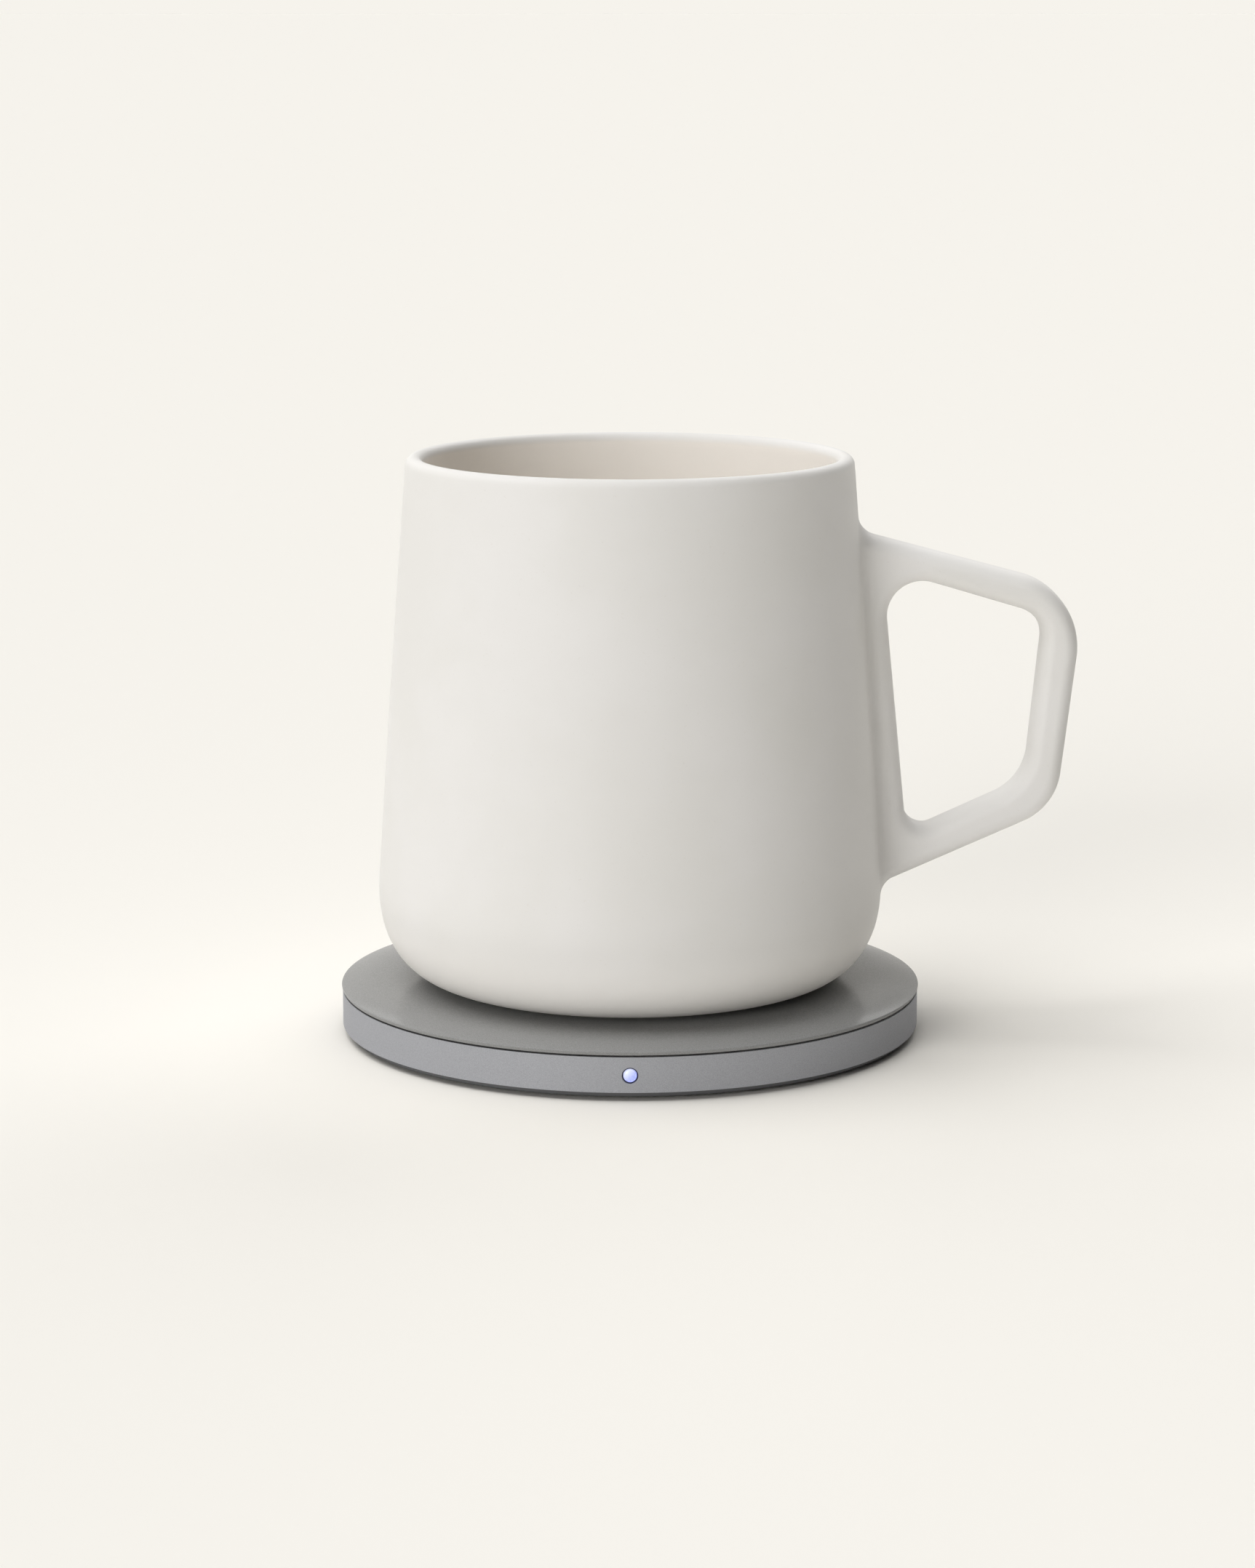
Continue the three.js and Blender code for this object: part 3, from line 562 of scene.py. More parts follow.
angles = np.linspace(math.pi / 2, 0, 300)
round_r = TURN_IN_RADIUS + (BELLY_RADIUS - TURN_IN_RADIUS) * np.abs(np.cos(angles)) ** ROUNDNESS
round_z = BELLY_HEIGHT - (BELLY_HEIGHT - TURN_IN_HEIGHT) * np.sin(angles) ** ROUNDNESS
share = np.linspace(0, 1, 500)[1:]
wall_r = BELLY_RADIUS + (LIP_RADIUS - BELLY_RADIUS) * share + 0.15 * np.sin(np.pi * share)
wall_z = BELLY_HEIGHT + (LIP_HEIGHT - BELLY_HEIGHT) * share

# %% Mug profile, lip, inside and underside
RECESS_RADIUS, RECESS_TOP = 26.0, 3.5
FOOT_RING_RADIUS, FOOT_RING_ROUND, RECESS_ROUND, CREASE_ROUND = 29.4, 0.35, 0.4, 0.15
INNER_FLOOR, INNER_ROUND, INNER_BELLY = 7.9, 9.0, 39.9
lip_centre = LIP_RADIUS - LIP_ROUND
lip = arc(lip_centre, LIP_HEIGHT, LIP_ROUND, 0, 180, 60)[1:]
corner = arc(INNER_BELLY - INNER_ROUND, INNER_FLOOR + INNER_ROUND, INNER_ROUND, 0, -90, 60)
underside = (
    [(0, RECESS_TOP)]
    + arc(RECESS_RADIUS - RECESS_ROUND, RECESS_TOP - RECESS_ROUND, RECESS_ROUND, 90, 0, 6)
    + arc(RECESS_RADIUS + RECESS_ROUND, RECESS_ROUND, RECESS_ROUND, 180, 270, 6)
    + arc(FOOT_RING_RADIUS - FOOT_RING_ROUND, FOOT_RING_ROUND, FOOT_RING_ROUND, -90, 0, 6)
    + arc(FOOT_RING_RADIUS + CREASE_ROUND, TURN_IN_HEIGHT - CREASE_ROUND, CREASE_ROUND, 180, 90, 4)
)
outside = list(zip(round_r, round_z)) + list(zip(wall_r, wall_z))
chain = np.array(underside + outside + lip + corner + [(0, INNER_FLOOR)])
FINE_STEP = 0.05


def evened(points, spacing):
    """The same line with points at one even spacing."""
    reach = np.concatenate([[0], np.cumsum(np.hypot(*np.diff(points, axis=0).T))])
    along = np.linspace(0, reach[-1], int(reach[-1] / spacing) + 1)
    return np.stack([np.interp(along, reach, points[:, 0]), np.interp(along, reach, points[:, 1])], 1)


def eased(points, place, spread, spacing):
    """Eases the line around one place, over about four times the spread."""
    steps = np.arange(-4 * spread, 4 * spread + spacing, spacing)
    weights = np.exp(-0.5 * (steps / spread) ** 2)
    weights /= weights.sum()
    padded = np.pad(points, ((len(steps) // 2, len(steps) // 2), (0, 0)), mode="edge")
    soft = np.stack([np.convolve(padded[:, k], weights, "valid") for k in (0, 1)], 1)[: len(points)]
    middle = np.argmin(np.hypot(*(points - place).T))
    away = np.abs(np.arange(len(points)) - middle) * spacing / spread
    use = np.clip((6 - away) / 3, 0, 1)[:, None]
    use = use * use * (3 - 2 * use)
    return points * (1 - use) + soft * use


fine = evened(chain, FINE_STEP)
for place, spread in (
    ((BELLY_RADIUS, BELLY_HEIGHT), 1.2),
    ((LIP_RADIUS, LIP_HEIGHT), 0.25),
    ((lip_centre - LIP_ROUND, LIP_HEIGHT), 0.25),
    ((INNER_BELLY, INNER_FLOOR + INNER_ROUND), 1.2),
):
    fine = eased(fine, place, spread, FINE_STEP)
print("widest", round(fine[:, 0].max(), 3), "mm")

# %% [markdown]
# The rows of the mesh lie close where the profile bends and wide where it is straight: one row for every
# 1.8 mm or every 9 degrees of turn.

# %% Mug body, spun
ROW_LENGTH, ROW_TURN, COLUMNS = 1.8, math.radians(9), 240
step = np.diff(fine, axis=0)
heading = np.unwrap(np.arctan2(step[:, 1], step[:, 0]))
turn = np.abs(np.diff(heading, prepend=heading[0]))
wanted = np.cumsum(np.hypot(*step.T) / ROW_LENGTH + turn / ROW_TURN)
rows = np.searchsorted(wanted, np.arange(0.5, wanted[-1], 1.0))
rows = np.unique(np.concatenate([[0], rows, [len(fine) - 1]]))
body_profile = [(-fine[i, 0], fine[i, 1] + FOOT) for i in rows]
body_profile[0] = (0.0, body_profile[0][1])
body_profile[-1] = (0.0, body_profile[-1][1])
mug = turned("mug_ceramic", body_profile, COLUMNS)
print("mug body", len(mug.data.polygons), "faces")

# %% [markdown]
# ## The handle
# The handle is cast apart and luted on with slip, which leaves a small round in the crease. Its outline is
# a four-sided loop with round corners, its bars are 5 to 6.4 mm wide and 9.6 mm thick, and their edges are
# so round that hardly a flat is left.
#
# A round in the crease between a flat slab and a curved wall is hard to bevel. So the joint is made as in
# clay: a blank of the handle and a piece of the wall are pressed into one lump with Remesh, and every point
# of its skin is then eased onto the true surface.

# %% The true surface of wall and handle
EDGE_IN_PLANE, EDGE_ACROSS, HALF_THICK = 2.4, 3.2, 4.8
CREASE, MORE_AT_TOP, MORE_AT_HEEL = 1.2, 1.3, 0.8
OUTER_CORNERS = [((33.0, 12.192), 0.0), ((73.45, 30.16), 10.6), ((77.84, 67.57), 13.0), ((33.0, 79.42), 0.0)]
HOLE_CORNERS = [((47.76, 25.29), 3.3), ((67.97, 34.56), 9.6), ((70.82, 63.59), 5.1), ((43.1, 71.75), 6.0)]
side_zone = (fine[:, 1] > 8) & (fine[:, 0] > 37.9) & (np.arange(len(fine)) < len(fine) * 0.6)
wall_table = fine[side_zone & (fine[:, 1] < LIP_HEIGHT)]
wall_table = wall_table[np.argsort(wall_table[:, 1])]
wall_lean = np.cos(np.arctan(np.gradient(wall_table[:, 0], wall_table[:, 1])))


def rounded_distance(x, z, corners):
    """The distance to a round-cornered outline that runs anticlockwise; negative inside."""
    places = np.array([c for c, _ in corners])
    count = len(places)
    sides = [places[(i + 1) % count] - places[i] for i in range(count)]
    outward = [np.array((s[1], -s[0])) / np.hypot(*s) for s in sides]
    found = np.max([(x - p[0]) * n[0] + (z - p[1]) * n[1] for p, n in zip(places, outward)], axis=0)
    for i, (place, size) in enumerate(corners):
        before, after = outward[i - 1], outward[i]
        middle = before + after
        centre = np.array(place) - middle * size / (middle @ before)
        dx, dz = x - centre[0], z - centre[1]
        in_zone = (before[0] * dz - before[1] * dx >= 0) & (dx * after[1] - dz * after[0] >= 0)
        found = np.where(in_zone, np.hypot(dx, dz) - size, found)
    return found


def ceramic_distance(points):
    """The distance from points, in mm above the foot, to the skin of wall and handle together."""
    x, y, z = points.T
    wall = (np.hypot(x, y) - np.interp(z, *wall_table.T[::-1])) * np.interp(z, wall_table[:, 1], wall_lean)
    in_plane = np.maximum(rounded_distance(x, z, OUTER_CORNERS), -rounded_distance(x, z, HOLE_CORNERS))
    u, v = in_plane + EDGE_IN_PLANE, np.abs(y) - HALF_THICK + EDGE_ACROSS
    up, vp = np.maximum(u, 0), np.maximum(v, 0)
    size = np.hypot(up / EDGE_IN_PLANE, vp / EDGE_ACROSS)
    slope = np.hypot(up / EDGE_IN_PLANE**2, vp / EDGE_ACROSS**2)
    flat_part = np.maximum(u - EDGE_IN_PLANE, v - EDGE_ACROSS)
    bar = np.where(size > 1e-9, (size - 1) * size / np.maximum(slope, 1e-9), flat_part)
    crown = np.clip((z - 70) / 7, 0, 1)
    heel = np.clip((25 - z) / 6, 0, 1)
    crease = CREASE + MORE_AT_TOP * crown * crown * (3 - 2 * crown)
    crease = crease + MORE_AT_HEEL * heel * heel * (3 - 2 * heel)
    near = np.hypot(np.maximum(crease - wall, 0), np.maximum(crease - bar, 0))
    return np.maximum(crease, np.minimum(wall, bar)) - near


def skin_slope(points):
    """The direction in which the distance grows, which is the skin's normal."""
    small = 0.02
    shifts = np.eye(3) * small
    rises = [(ceramic_distance(points + s) - ceramic_distance(points - s)) / (2 * small) for s in shifts]
    return np.stack(rises, 1)


def onto_skin(points, rounds=6):
    """Moves points onto the skin by the shortest way."""
    for _ in range(rounds):
        slope = skin_slope(points)
        away = ceramic_distance(points) / np.maximum((slope**2).sum(1), 0.05)
        points = points - slope * np.clip(away, -0.8, 0.8)[:, None]
    return points


# %% Handle blank and a piece of the wall, pressed into one lump
BLANK_ROUND, VOXEL, WALL_PIECE_FROM = 2.2, 0.5, 34.0
outline = bpy.data.curves.new("handle_blank", "CURVE")
outline.dimensions = "2D"
outline.fill_mode = "BOTH"
outline.extrude = (HALF_THICK - BLANK_ROUND) * MM
outline.bevel_depth = BLANK_ROUND * MM
outline.offset = -BLANK_ROUND * MM
outline.bevel_resolution = 3


def corner_points(corners):
    """The outline's points with each corner's arc drawn in eight steps."""
    drawn_points = []
    for i, (place, size) in enumerate(corners):
        before = np.array(corners[i - 1][0]) - place
        after = np.array(corners[(i + 1) % len(corners)][0]) - place
        before, after = before / np.hypot(*before), after / np.hypot(*after)
        half = math.acos(before @ after) / 2
        centre = np.array(place) + (before + after) / np.hypot(*(before + after)) * size / math.sin(half)
        for t in np.linspace(0, 1, 9 if size else 1):
            spot = np.array(place) + (before * (1 - t) ** 2 + after * t**2) * size / math.tan(half)
            away = spot - centre
            drawn_points.append(centre + away / np.hypot(*away) * size if size else np.array(place))
    return drawn_points


for corners in (OUTER_CORNERS, HOLE_CORNERS):
    line = corner_points(corners)
    spline = outline.splines.new("POLY")
    spline.points.add(len(line) - 1)
    for point, (x, z) in zip(spline.points, line):
        point.co = (x * MM, (z + FOOT) * MM, 0, 1)
    spline.use_cyclic_u = True
blank = bpy.data.objects.new("handle_blank", outline)
bpy.context.scene.collection.objects.link(blank)
blank.rotation_euler = (math.pi / 2, 0, 0)
alone(blank)
bpy.ops.object.convert(target="MESH")
blank = bpy.context.object
settle_place(blank)
tidy_mesh(blank, 1e-6)

alone(mug)
bpy.ops.object.duplicate()
lump = named("lump")
edit_all(lump)
cut_place = (WALL_PIECE_FROM * MM, 0, 0)
bpy.ops.mesh.bisect(plane_co=cut_place, plane_no=(1, 0, 0), use_fill=True, clear_inner=True)
merge_into(lump, blank)
apply_modifier(lump, "REMESH", mode="VOXEL", voxel_size=VOXEL * MM, adaptivity=0)

# %% [markdown]
# Points that lie within 1.4 mm of the true skin are moved onto it, spread evenly with a few rounds of
# averaging, and the rest of the lump is thrown away.

# %% Ease the lump onto the true surface
NEAR_SKIN, AVERAGING = 1.4, 0.6
points = np.empty(len(lump.data.vertices) * 3)
lump.data.vertices.foreach_get("co", points)
points = points.reshape(-1, 3) / MM - (0, 0, FOOT)
on_skin = (np.abs(ceramic_distance(points)) < NEAR_SKIN) & (points[:, 2] > 9) & (points[:, 2] < 88)
links_between = np.empty(len(lump.data.edges) * 2, int)
lump.data.edges.foreach_get("vertices", links_between)
first, second = links_between.reshape(-1, 2).T
points[on_skin] = onto_skin(points[on_skin])
for _ in range(6):
    total, count = np.zeros_like(points), np.zeros(len(points))
    np.add.at(total, first, points[second])
    np.add.at(total, second, points[first])
    np.add.at(count, first, 1)
    np.add.at(count, second, 1)
    moved = points * (1 - AVERAGING) + AVERAGING * total / count[:, None]
    points[on_skin] = onto_skin(moved[on_skin], 2)
lump.data.vertices.foreach_set("co", ((points + (0, 0, FOOT)) * MM).ravel())
lump.data.update()
PATCH_TURN, PATCH_LOW, PATCH_HIGH = 12.0, 12.5, 82.5
lose = ~on_skin
select(lump, "verts", lambda v: lose[v.index])
bpy.ops.mesh.delete(type="VERT")
side_x, side_y = -math.sin(math.radians(PATCH_TURN)), math.cos(math.radians(PATCH_TURN))
for height, normal in (
    (PATCH_LOW + FOOT, (0, 0, -1)),
    (PATCH_HIGH + FOOT, (0, 0, 1)),
    (0, (side_x, side_y, 0)),
    (0, (side_x, -side_y, 0)),
):
    bpy.ops.mesh.select_all(action="SELECT")
    bpy.ops.mesh.bisect(plane_co=(0, 0, height * MM), plane_no=normal, clear_outer=True, threshold=1e-6)
bpy.ops.object.mode_set(mode="OBJECT")
print("handle skin", len(lump.data.vertices), "points,", len(lump.data.polygons), "faces")

# %% [markdown]
# The spun body gets a hole a little larger than this skin, and the strip between the two rims is closed
# like a zip, side by side, so that no triangle is long.

# %% Open the body and zip the handle's skin in
turn_limit = math.radians(PATCH_TURN + 360 / COLUMNS + 0.1)
row_heights = np.array([z for _, z in body_profile])
outer_rows = row_heights[[i for i, k in enumerate(rows) if fine[k, 0] > 38.0 and k < len(fine) * 0.6]]
low_row = outer_rows[outer_rows < FOOT + PATCH_LOW - 0.4].max()
high_row = outer_rows[outer_rows > FOOT + PATCH_HIGH + 0.4].min()


def in_patch(face):
    """True for a face of the outer wall that lies wholly where the handle's skin goes."""
    for v in face.verts:
        height = v.co.z / MM
        wall_there = np.interp(height - FOOT, wall_table[:, 1], wall_table[:, 0])
        in_turn = abs(math.atan2(v.co.y, v.co.x)) < turn_limit
        in_height = low_row - 0.01 < height < high_row + 0.01
        if not (in_turn and in_height and math.hypot(v.co.x, v.co.y) / MM > wall_there - 1):
            return False
    return True


print("faces taken out of the wall", select(mug, "faces", in_patch))
bpy.ops.mesh.delete(type="FACE")
merge_into(mug, lump)


def rims(shape):
    """The open rims of a mesh, each as a closed loop of vertices."""
    ahead = {}
    for edge in shape.edges:
        if edge.is_boundary:
            for one, other in (edge.verts, reversed(edge.verts)):
                ahead.setdefault(one, []).append(other)
    loops = []
    while ahead:
        start = next(iter(ahead))
        loop, here, last = [start], ahead[start][0], start
        while here is not start:
            loop.append(here)
            one, other = ahead[here]
            here, last = (other if one is last else one), here
        for vert in loop:
            del ahead[vert]
        loops.append(loop)
    return loops


def four_sides(loop):
    """A rim cut at its four corners, each side from corner to corner, with a share from 0 to 1."""
    turn = np.array([math.atan2(v.co.y, v.co.x) for v in loop])
    height = np.array([v.co.z for v in loop])
    turn = 2 * (turn - turn.min()) / (turn.max() - turn.min()) - 1
    height = 2 * (height - height.min()) / (height.max() - height.min()) - 1
    corners = [int(np.argmax(turn * a + height * b)) for a, b in ((-1, -1), (1, -1), (1, 1), (-1, 1))]
    order = list(range(len(loop)))
    start = corners[0]
    order = order[start:] + order[:start]
    if order.index(corners[1]) > order.index(corners[3]):
        order = [order[0]] + order[:0:-1]
    cuts = [order.index(c) for c in corners] + [len(order)]
    order.append(order[0])
    sides = []
    for (low, high), across in zip(zip(cuts, cuts[1:]), (turn, height, turn, height)):
        side = order[low : high + 1]
        values = across[side]
        sides.append(([loop[i] for i in side], (values - values[0]) / (values[-1] - values[0])))
    return sides


alone(mug)
bpy.ops.object.mode_set(mode="EDIT")
shape = bmesh.from_edit_mesh(mug.data)
shape.verts.ensure_lookup_table()
inner_rim, outer_rim = sorted(rims(shape), key=len, reverse=True)
print("rims of", len(inner_rim), "and", len(outer_rim), "points")
for (a, at_a), (b, at_b) in zip(four_sides(inner_rim), four_sides(outer_rim)):
    i = j = 0
    while i < len(a) - 1 or j < len(b) - 1:
        if j == len(b) - 1 or (i < len(a) - 1 and at_a[i + 1] <= at_b[j + 1]):
            shape.faces.new((a[i], a[i + 1], b[j]))
            i += 1
        else:
            shape.faces.new((a[i], b[j + 1], b[j]))
            j += 1
bmesh.update_edit_mesh(mug.data)
tidy_mesh(mug, 1e-8)
triangles = sum(len(p.vertices) - 2 for p in mug.data.polygons)
print("mug", len(mug.data.vertices), "points,", triangles, "triangles")

# %% [markdown]
# Every point's normal is known from the true surface, so it is given to the mesh. A glaze shows each kink
# of a normal as a dent, and this way there are none, also along the zip.

# %% Normals of the ceramic
co = np.empty(len(mug.data.vertices) * 3)
mug.data.vertices.foreach_get("co", co)
co = co.reshape(-1, 3) / MM - (0, 0, FOOT)
tangent = np.gradient(fine, axis=0)
tangent /= np.hypot(*tangent.T)[:, None]
profile_normal = np.stack([tangent[:, 1], -tangent[:, 0]], 1)
radius = np.hypot(co[:, 0], co[:, 1])
nearest = np.empty(len(co), int)
coarse = np.arange(0, len(fine), 20)
for begin in range(0, len(co), 4000):
    part = slice(begin, begin + 4000)
    away = (radius[part, None] - fine[coarse, 0]) ** 2 + (co[part, 2, None] - fine[coarse, 1]) ** 2
    guess = coarse[np.argmin(away, 1)]
    around = np.clip(guess[:, None] + np.arange(-22, 23), 0, len(fine) - 1)
    away = (radius[part, None] - fine[around, 0]) ** 2 + (co[part, 2, None] - fine[around, 1]) ** 2
    nearest[part] = around[np.arange(len(guess)), np.argmin(away, 1)]
outward = np.maximum(radius, 1e-6)
normals = np.stack(
    [
        profile_normal[nearest, 0] * co[:, 0] / outward,
        profile_normal[nearest, 0] * co[:, 1] / outward,
        profile_normal[nearest, 1],
    ],
    1,
)
turn_of = np.abs(np.degrees(np.arctan2(co[:, 1], co[:, 0])))
wall_here = np.interp(co[:, 2], wall_table[:, 1], wall_table[:, 0])
near_joint = (co[:, 2] > 11) & (co[:, 2] < 84) & (radius > wall_here - 1)
on_joint = near_joint & ((turn_of < 14) | (radius > wall_here + 1))
joint_slope = skin_slope(co[on_joint])
normals[on_joint] = joint_slope / np.linalg.norm(joint_slope, axis=1)[:, None]
alone(mug)
bpy.ops.object.shade_smooth()
mug.data.normals_split_custom_set_from_vertices([tuple(n) for n in normals])
finished(mug, glaze, "mug", "glazed_stoneware", "mug_body", "mug_handle")

# %% [markdown]
# ## The base cap
# Under the mug, inside the foot ring, a plastic cap closes the recess with the coil and the heating disc.

# %% Base cap
CAP_RADIUS, CAP_ROUND, CAP_LOW, CAP_HIGH = 25.7, 0.25, FOOT + 0.5, FOOT + 1.5
base_cap = turned(
    "mug_base_cap",
    [(0, FOOT + 0.62), (5.5, FOOT + 0.62)]
    + arc(6.0, CAP_LOW, 0.06, 120, 60, 3)
    + [(6.4, CAP_LOW)]
    + arc(CAP_RADIUS - CAP_ROUND, CAP_LOW + CAP_ROUND, CAP_ROUND, -90, 0, 5)
    + [(CAP_RADIUS, CAP_HIGH), (0, CAP_HIGH)],
    192,
)
shade(base_cap, 30)
finished(base_cap, cap_plastic, "mug", "base_cap_plastic", "base_cap")

# %% [markdown]
# ## The pad's cover
# The cover is a moulded disc. Its top is flat under the mug, falls a little towards the rim and ends in a
# small round. Below it has a rib that centres it in the ring. All of this is one profile, so it is turned;
# only the four bosses for the screws are joined on after that.

# %% Cover
COVER_RADIUS, COVER_BOTTOM, COVER_TOP = 50.15, 7.7, 9.0
RIM_ROUND, RIM_FALL, FLAT_RADIUS, UNDERCUT = 0.2, 0.62, 43.5, 0.2
RIB_INNER, RIB_OUTER, RIB_LOW = 46.0, 47.7, 6.9
FALL_POWER = 2.2
rim_top = COVER_TOP - RIM_FALL
rim_round = arc(COVER_RADIUS - RIM_ROUND, rim_top - RIM_ROUND, RIM_ROUND, -25, 75, 8)
rim_x, rim_z = rim_round[-1]
crown = [
    (FLAT_RADIUS + (rim_x - FLAT_RADIUS) * f, COVER_TOP - (COVER_TOP - rim_z) * f**FALL_POWER)
    for f in np.linspace(1, 0, 13)[1:]
]
cover = turned(
    "pad_cover",
    [(0, COVER_BOTTOM), (RIB_INNER, COVER_BOTTOM), (RIB_INNER, RIB_LOW)]
    + [(RIB_OUTER, RIB_LOW), (RIB_OUTER, COVER_BOTTOM)]
    + [(COVER_RADIUS - UNDERCUT - 0.05, COVER_BOTTOM), (COVER_RADIUS - UNDERCUT, COVER_BOTTOM + 0.05)]
    + rim_round
    + crown
    + [(0, COVER_TOP)],
)

# %% Screw bosses under the cover
BOARD_TOP, SCREW_CIRCLE, BOSS_RADIUS, PILOT_RADIUS = 3.8, 39.5, 2.4, 1.25


def rod(name, size, low, high, x=0.0, y=0.0):
    """A round rod along Z between two heights, in mm."""
    place, depth = (x * MM, y * MM, (high + low) / 2 * MM), (high - low) * MM
    bpy.ops.mesh.primitive_cylinder_add(vertices=48, radius=size * MM, depth=depth, location=place)
    made = named(name)
    settle_place(made)
    return made


for quarter in range(4):
    bearing = math.radians(45 + 90 * quarter)
    x, y = SCREW_CIRCLE * math.cos(bearing), SCREW_CIRCLE * math.sin(bearing)
    join_on(cover, rod("boss", BOSS_RADIUS, BOARD_TOP, 8.35, x, y), "UNION")
    join_on(cover, rod("pilot_hole", PILOT_RADIUS, BOARD_TOP - 1, 8.2, x, y), "DIFFERENCE")
shade(cover, 35)
finished(cover, satin, "pad", "cover_coating", "top_cover")

# %% [markdown]
# ## The seam, the ring and the foot
# The ring is turned from aluminium: a profile spun about the pad's axis, with its inner ledge for the
# board's edge. Then its hole for the lamp and its slot for the socket are cut, as on the mill.

# %% Seam
# Painted shade: the black gasket stands almost flush with the ring, to show as the shaded gap under the
# cover.
SEAM_RADIUS, SEAM_LOW, SEAM_HIGH, RING_INNER = 49.85, 7.4, 7.7, 48.0
seam = turned(
    "pad_seam",
    [(RING_INNER, SEAM_LOW), (SEAM_RADIUS - 0.05, SEAM_LOW), (SEAM_RADIUS, 7.45)]
    + [(SEAM_RADIUS, 7.65), (SEAM_RADIUS - 0.05, SEAM_HIGH), (RING_INNER, SEAM_HIGH), (RING_INNER, SEAM_LOW)],
)
shade(seam, 40)
finished(seam, seam_painted_shade, "pad", "black_plastic", "cover_gasket")

# %% Ring
RING_RADIUS, RING_LOW, LEDGE_RADIUS = 50.0, 0.6, 46.8
ring_points = (
    [(RING_INNER, RING_LOW)]
    + arc(49.15 - 0.08, RING_LOW + 0.08, 0.08, -90, -45, 2)
    + arc(RING_RADIUS - 0.12, 1.5, 0.12, -45, 0, 3)
    + arc(RING_RADIUS - 0.1, SEAM_LOW - 0.1, 0.1, 0, 90, 4)
    + [(RING_INNER, SEAM_LOW), (RING_INNER, 2.6), (LEDGE_RADIUS, 2.6)]
    + [(LEDGE_RADIUS, 2.1), (RING_INNER, 2.1), (RING_INNER, RING_LOW)]
)
ring = turned("pad_ring", ring_points)

# %% Holes in the ring
LAMP_HEIGHT, SOCKET_HEIGHT = 4.3, 4.63


def towards_front(piece, height):
    """Turns a piece made along Z so that its top points to the front, at a height in mm."""
    piece.rotation_euler = (math.pi / 2, 0, 0)
    piece.location = (0, 0, height * MM)
    settle_place(piece)
    return piece


lamp_hole = turned(
    "lamp_hole",
    [(0, 47.6), (1.42, 47.6), (1.42, 49.4), (1.34, 49.5), (1.34, 49.9), (1.48, 50.04), (1.48, 51), (0, 51)],
    48,
)
join_on(ring, towards_front(lamp_hole, LAMP_HEIGHT), "DIFFERENCE")
flange_room = rod("flange_room", 1.98, 45.5, 48.0)
join_on(ring, towards_front(flange_room, LAMP_HEIGHT), "DIFFERENCE")


def bar(name, width, length, height, x, y, z):
    """A bar along the axes, in mm, with its middle at x, y, z."""
    bpy.ops.mesh.primitive_cube_add(size=1, location=(x * MM, y * MM, z * MM))
    made = named(name)
    made.scale = (width * MM, length * MM, height * MM)
    settle_place(made)
    return made


def stadium(name, width, height, near, far):
    """A bar along Y with a section whose ends are half rounds, in mm, at the socket's height."""
    made = bar(name, width, far - near, height, 0, (near + far) / 2, SOCKET_HEIGHT)
    round_edges(made, lambda e: abs(e.verts[0].co.y - e.verts[1].co.y) > 1e-4, height / 2 * 0.999, 16)
    tidy_mesh(made, 1e-5)
    return made


join_on(ring, stadium("socket_slot", 9.54, 3.86, 40.9, 52), "DIFFERENCE")
shade(ring, 25)
finished(ring, anodised, "pad", "anodised_aluminium", "side_ring")

# %% Foot
PAD_FOOT_RADIUS, PAD_FOOT_ROUND, PAD_FOOT_THICK = 44.4, 0.3, 0.9
FIRST_GROOVE, GROOVE_WIDTH, GROOVE_STEP, GROOVE_DEPTH = 2.2, 0.5, 7.0, 0.15
bpy.ops.mesh.primitive_cylinder_add(
    vertices=192,
    radius=PAD_FOOT_RADIUS * MM,
    depth=PAD_FOOT_THICK * MM,
    location=(0, 0, PAD_FOOT_THICK / 2 * MM),
    end_fill_type="NGON",
)
foot = named("pad_foot")
settle_place(foot)
round_edges(foot, both_ends(lambda co: co.z < 0.1 * MM), PAD_FOOT_ROUND, 5)
for groove in range(3):
    select(foot, "faces", lambda f: f.normal.z < -0.99 and len(f.verts) > 100)
    bpy.ops.mesh.inset(thickness=(FIRST_GROOVE if groove == 0 else GROOVE_STEP - GROOVE_WIDTH) * MM)
    bpy.ops.mesh.inset(thickness=GROOVE_WIDTH * MM)
    outer = PAD_FOOT_RADIUS - PAD_FOOT_ROUND - FIRST_GROOVE - groove * GROOVE_STEP
    select(
        foot,
        "faces",
        lambda f: f.normal.z < -0.99
        and outer - GROOVE_WIDTH < math.hypot(*f.calc_center_median().xy) / MM < outer
        and len(f.verts) < 10,
    )
    bpy.ops.mesh.extrude_region_move(TRANSFORM_OT_translate={"value": (0, 0, GROOVE_DEPTH * MM)})
shade(foot, 35)
finished(foot, foot_rubber, "pad", "foot_silicone", "foot_pad")

# %% [markdown]
# ## The lamp at the front
# A rod of clear plastic carries the light from a chip on the board to the ring's face. It sits in a dark
# tube, which shows as a thin ring around it, set back a hair from the metal.

# %% Lamp
LENS_RADIUS, LENS_BACK, LENS_FRONT, TUBE_RADIUS = 1.1, 44.9, 49.75, 1.16
lens = turned(
    "lamp_lens_rod",
    [(0, LENS_BACK), (LENS_RADIUS, LENS_BACK), (LENS_RADIUS, LENS_FRONT)]
    + arc(LENS_RADIUS - 0.25, LENS_FRONT, 0.25, 0, 55, 5)[1:]
    + arc(0, 47.8, 2.19, 66, 90, 6),
    48,
)
shade(towards_front(lens, LAMP_HEIGHT), 50)
finished(lens, lens_glow, "pad", "lamp_diffuser", "lamp_lens")

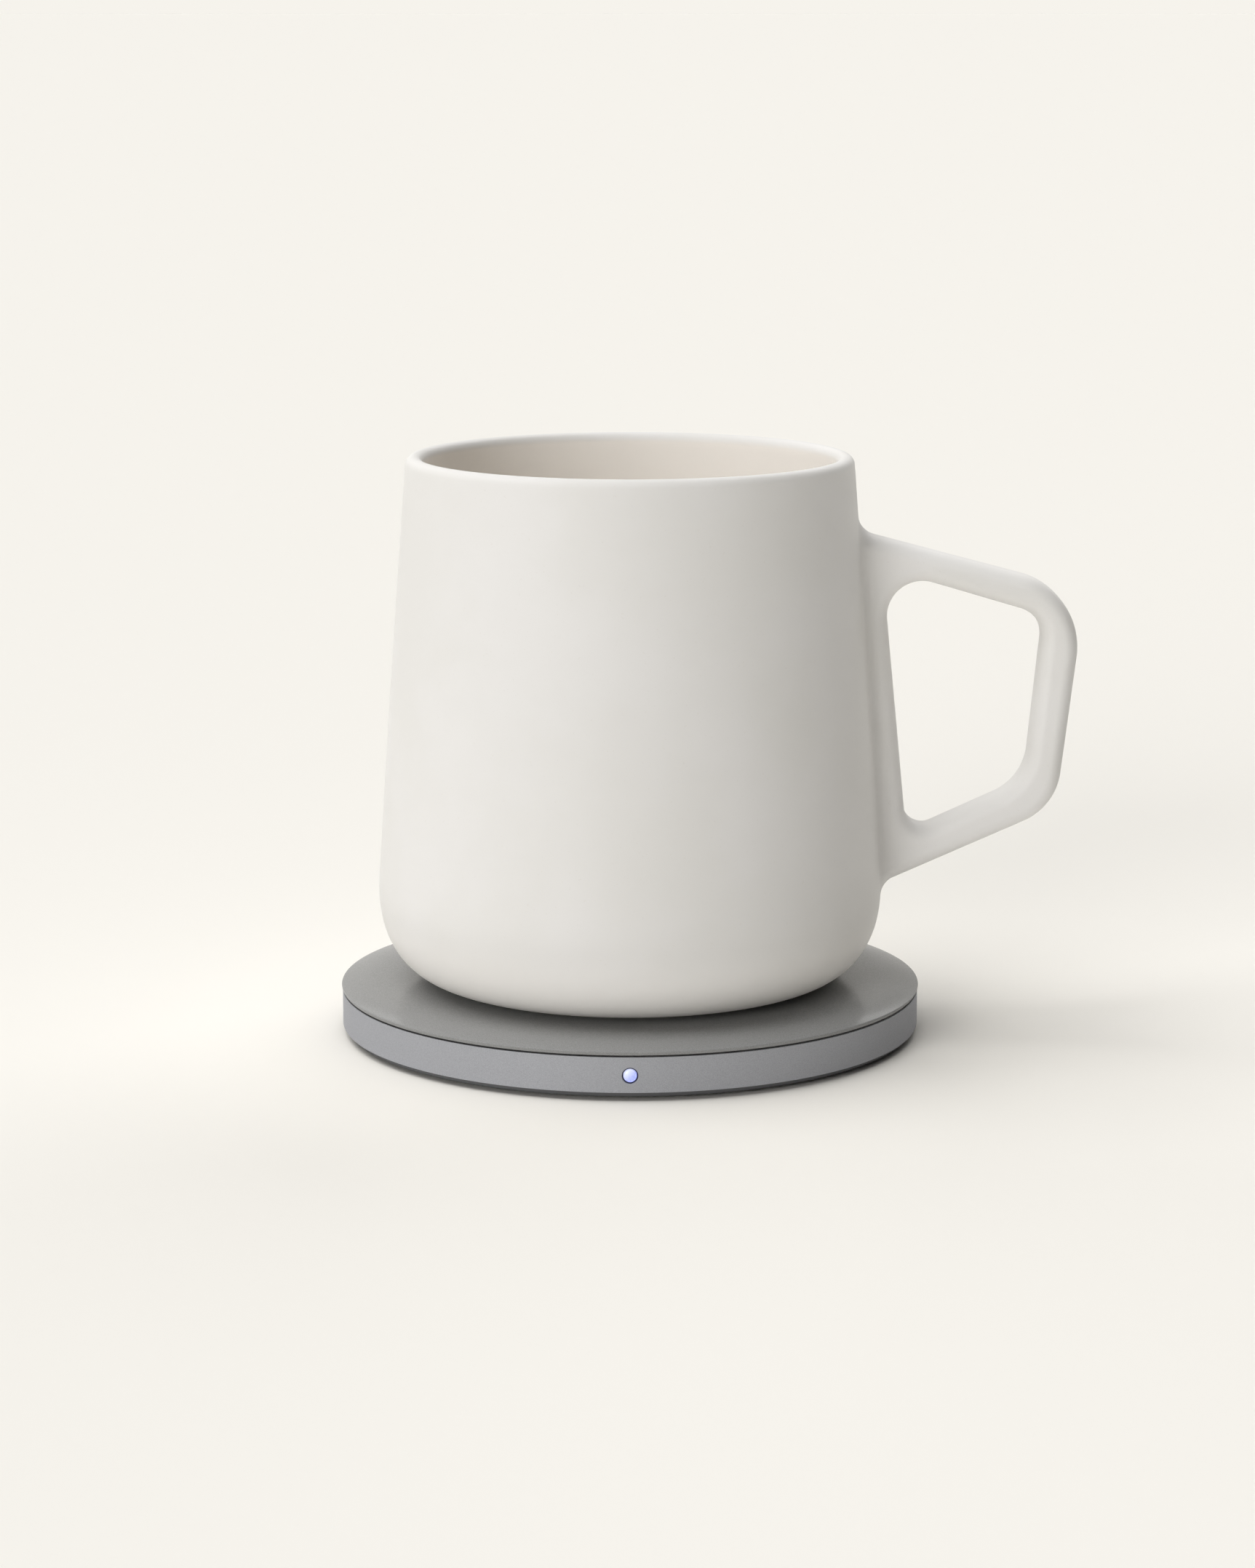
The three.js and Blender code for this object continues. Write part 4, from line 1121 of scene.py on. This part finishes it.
# Painted shade: this dark tube's thin ring also stands for the shaded gap around the lens.
sleeve = turned(
    "lamp_sleeve_tube",
    [(TUBE_RADIUS, 46.9), (1.68, 46.9), (1.68, 47.7), (1.38, 47.7), (1.38, 49.35)]
    + [(1.30, 49.45), (1.30, 49.7)]
    + arc(1.25, 49.7, 0.05, 0, 90, 3)[1:]
    + [(TUBE_RADIUS, LENS_FRONT), (TUBE_RADIUS, 46.9)],
    48,
)
shade(towards_front(sleeve, LAMP_HEIGHT), 35)
finished(sleeve, sleeve_painted_glow, "pad", "black_plastic", "lamp_sleeve")

# %% [markdown]
# ## The charging socket at the back
# A drawn steel shell with a black tongue inside, whose contacts are thin gilded strips.

# %% Socket
shell = stadium("socket_shell_drawn", 8.94, 3.26, 41.9, 49.2)
select(shell, "faces", lambda f: f.normal.y > 0.99)
bpy.ops.mesh.inset(thickness=0.3 * MM)
bpy.ops.mesh.extrude_region_move(TRANSFORM_OT_translate={"value": (0, -6.5 * MM, 0)})
round_edges(shell, both_ends(lambda co: co.y > 49.15 * MM), 0.08, 3)
tidy_mesh(shell)
shade(shell, 35)
finished(shell, steel, "pad", "screw_steel", "socket_shell")

TONGUE_THICK, CONTACTS, CONTACT_PITCH = 0.7, 12, 0.5
tongue = bar("socket_tongue_moulded", 6.7, 4.4, TONGUE_THICK, 0, 44.9, SOCKET_HEIGHT)
round_edges(tongue, both_ends(lambda co: co.y > 47 * MM), 0.12, 4)
shade(tongue, 35)
finished(tongue, black_plastic, "pad", "black_plastic", "socket_tongue")

# %% Contacts on the tongue
first_place = -CONTACT_PITCH * (CONTACTS - 1) / 2
contact = bar("socket_contacts", 0.25, 3.4, 0.06, first_place, 44.95, SOCKET_HEIGHT + TONGUE_THICK / 2)
round_edges(contact, both_ends(lambda co: co.y > 46 * MM), 0.02, 2)
shade(contact, 35)
apply_modifier(
    contact,
    "ARRAY",
    count=CONTACTS,
    use_relative_offset=False,
    use_constant_offset=True,
    constant_offset_displace=(CONTACT_PITCH * MM, 0, 0),
)
alone(contact)
bpy.ops.object.duplicate()
underside_row = named("contacts_below")
edit_all(underside_row)
bpy.ops.transform.translate(value=(0, 0, -TONGUE_THICK * MM))
merge_into(contact, underside_row)
finished(contact, gold, "pad", "copper_wire")

# %% [markdown]
# ## The solids that keep their shape
# The base plate, the screws, the board with its parts and the coils are right as they are. Each is given
# the finish of its material slot.

# %% Finish the other solids
finish_of_slot = {
    "black_plastic": black_plastic,
    "heating_steel": heating_steel,
    "copper_wire": copper,
    "screw_steel": steel,
    "circuit_board": board_mask,
    "ferrite": ferrite_stuff,
    "white_plastic": white_plastic,
    "thermal_pad": thermal_stuff,
    "glazed_stoneware": glaze,
    "anodised_aluminium": anodised,
    "cover_coating": satin,
    "foot_silicone": foot_rubber,
    "lamp_diffuser": lens_glow,
    "base_cap_plastic": cap_plastic,
}
slot_of_node = {part["node"]: part["material_slot"] for part in frame["record"]["subparts"]}
for name, solid in frame["nodes"].items():
    solid.data.materials.clear()
    solid.data.materials.append(finish_of_slot[slot_of_node[name]].material)
print(len(frame["nodes"]), "solids have their finish")

# %% Close
import json
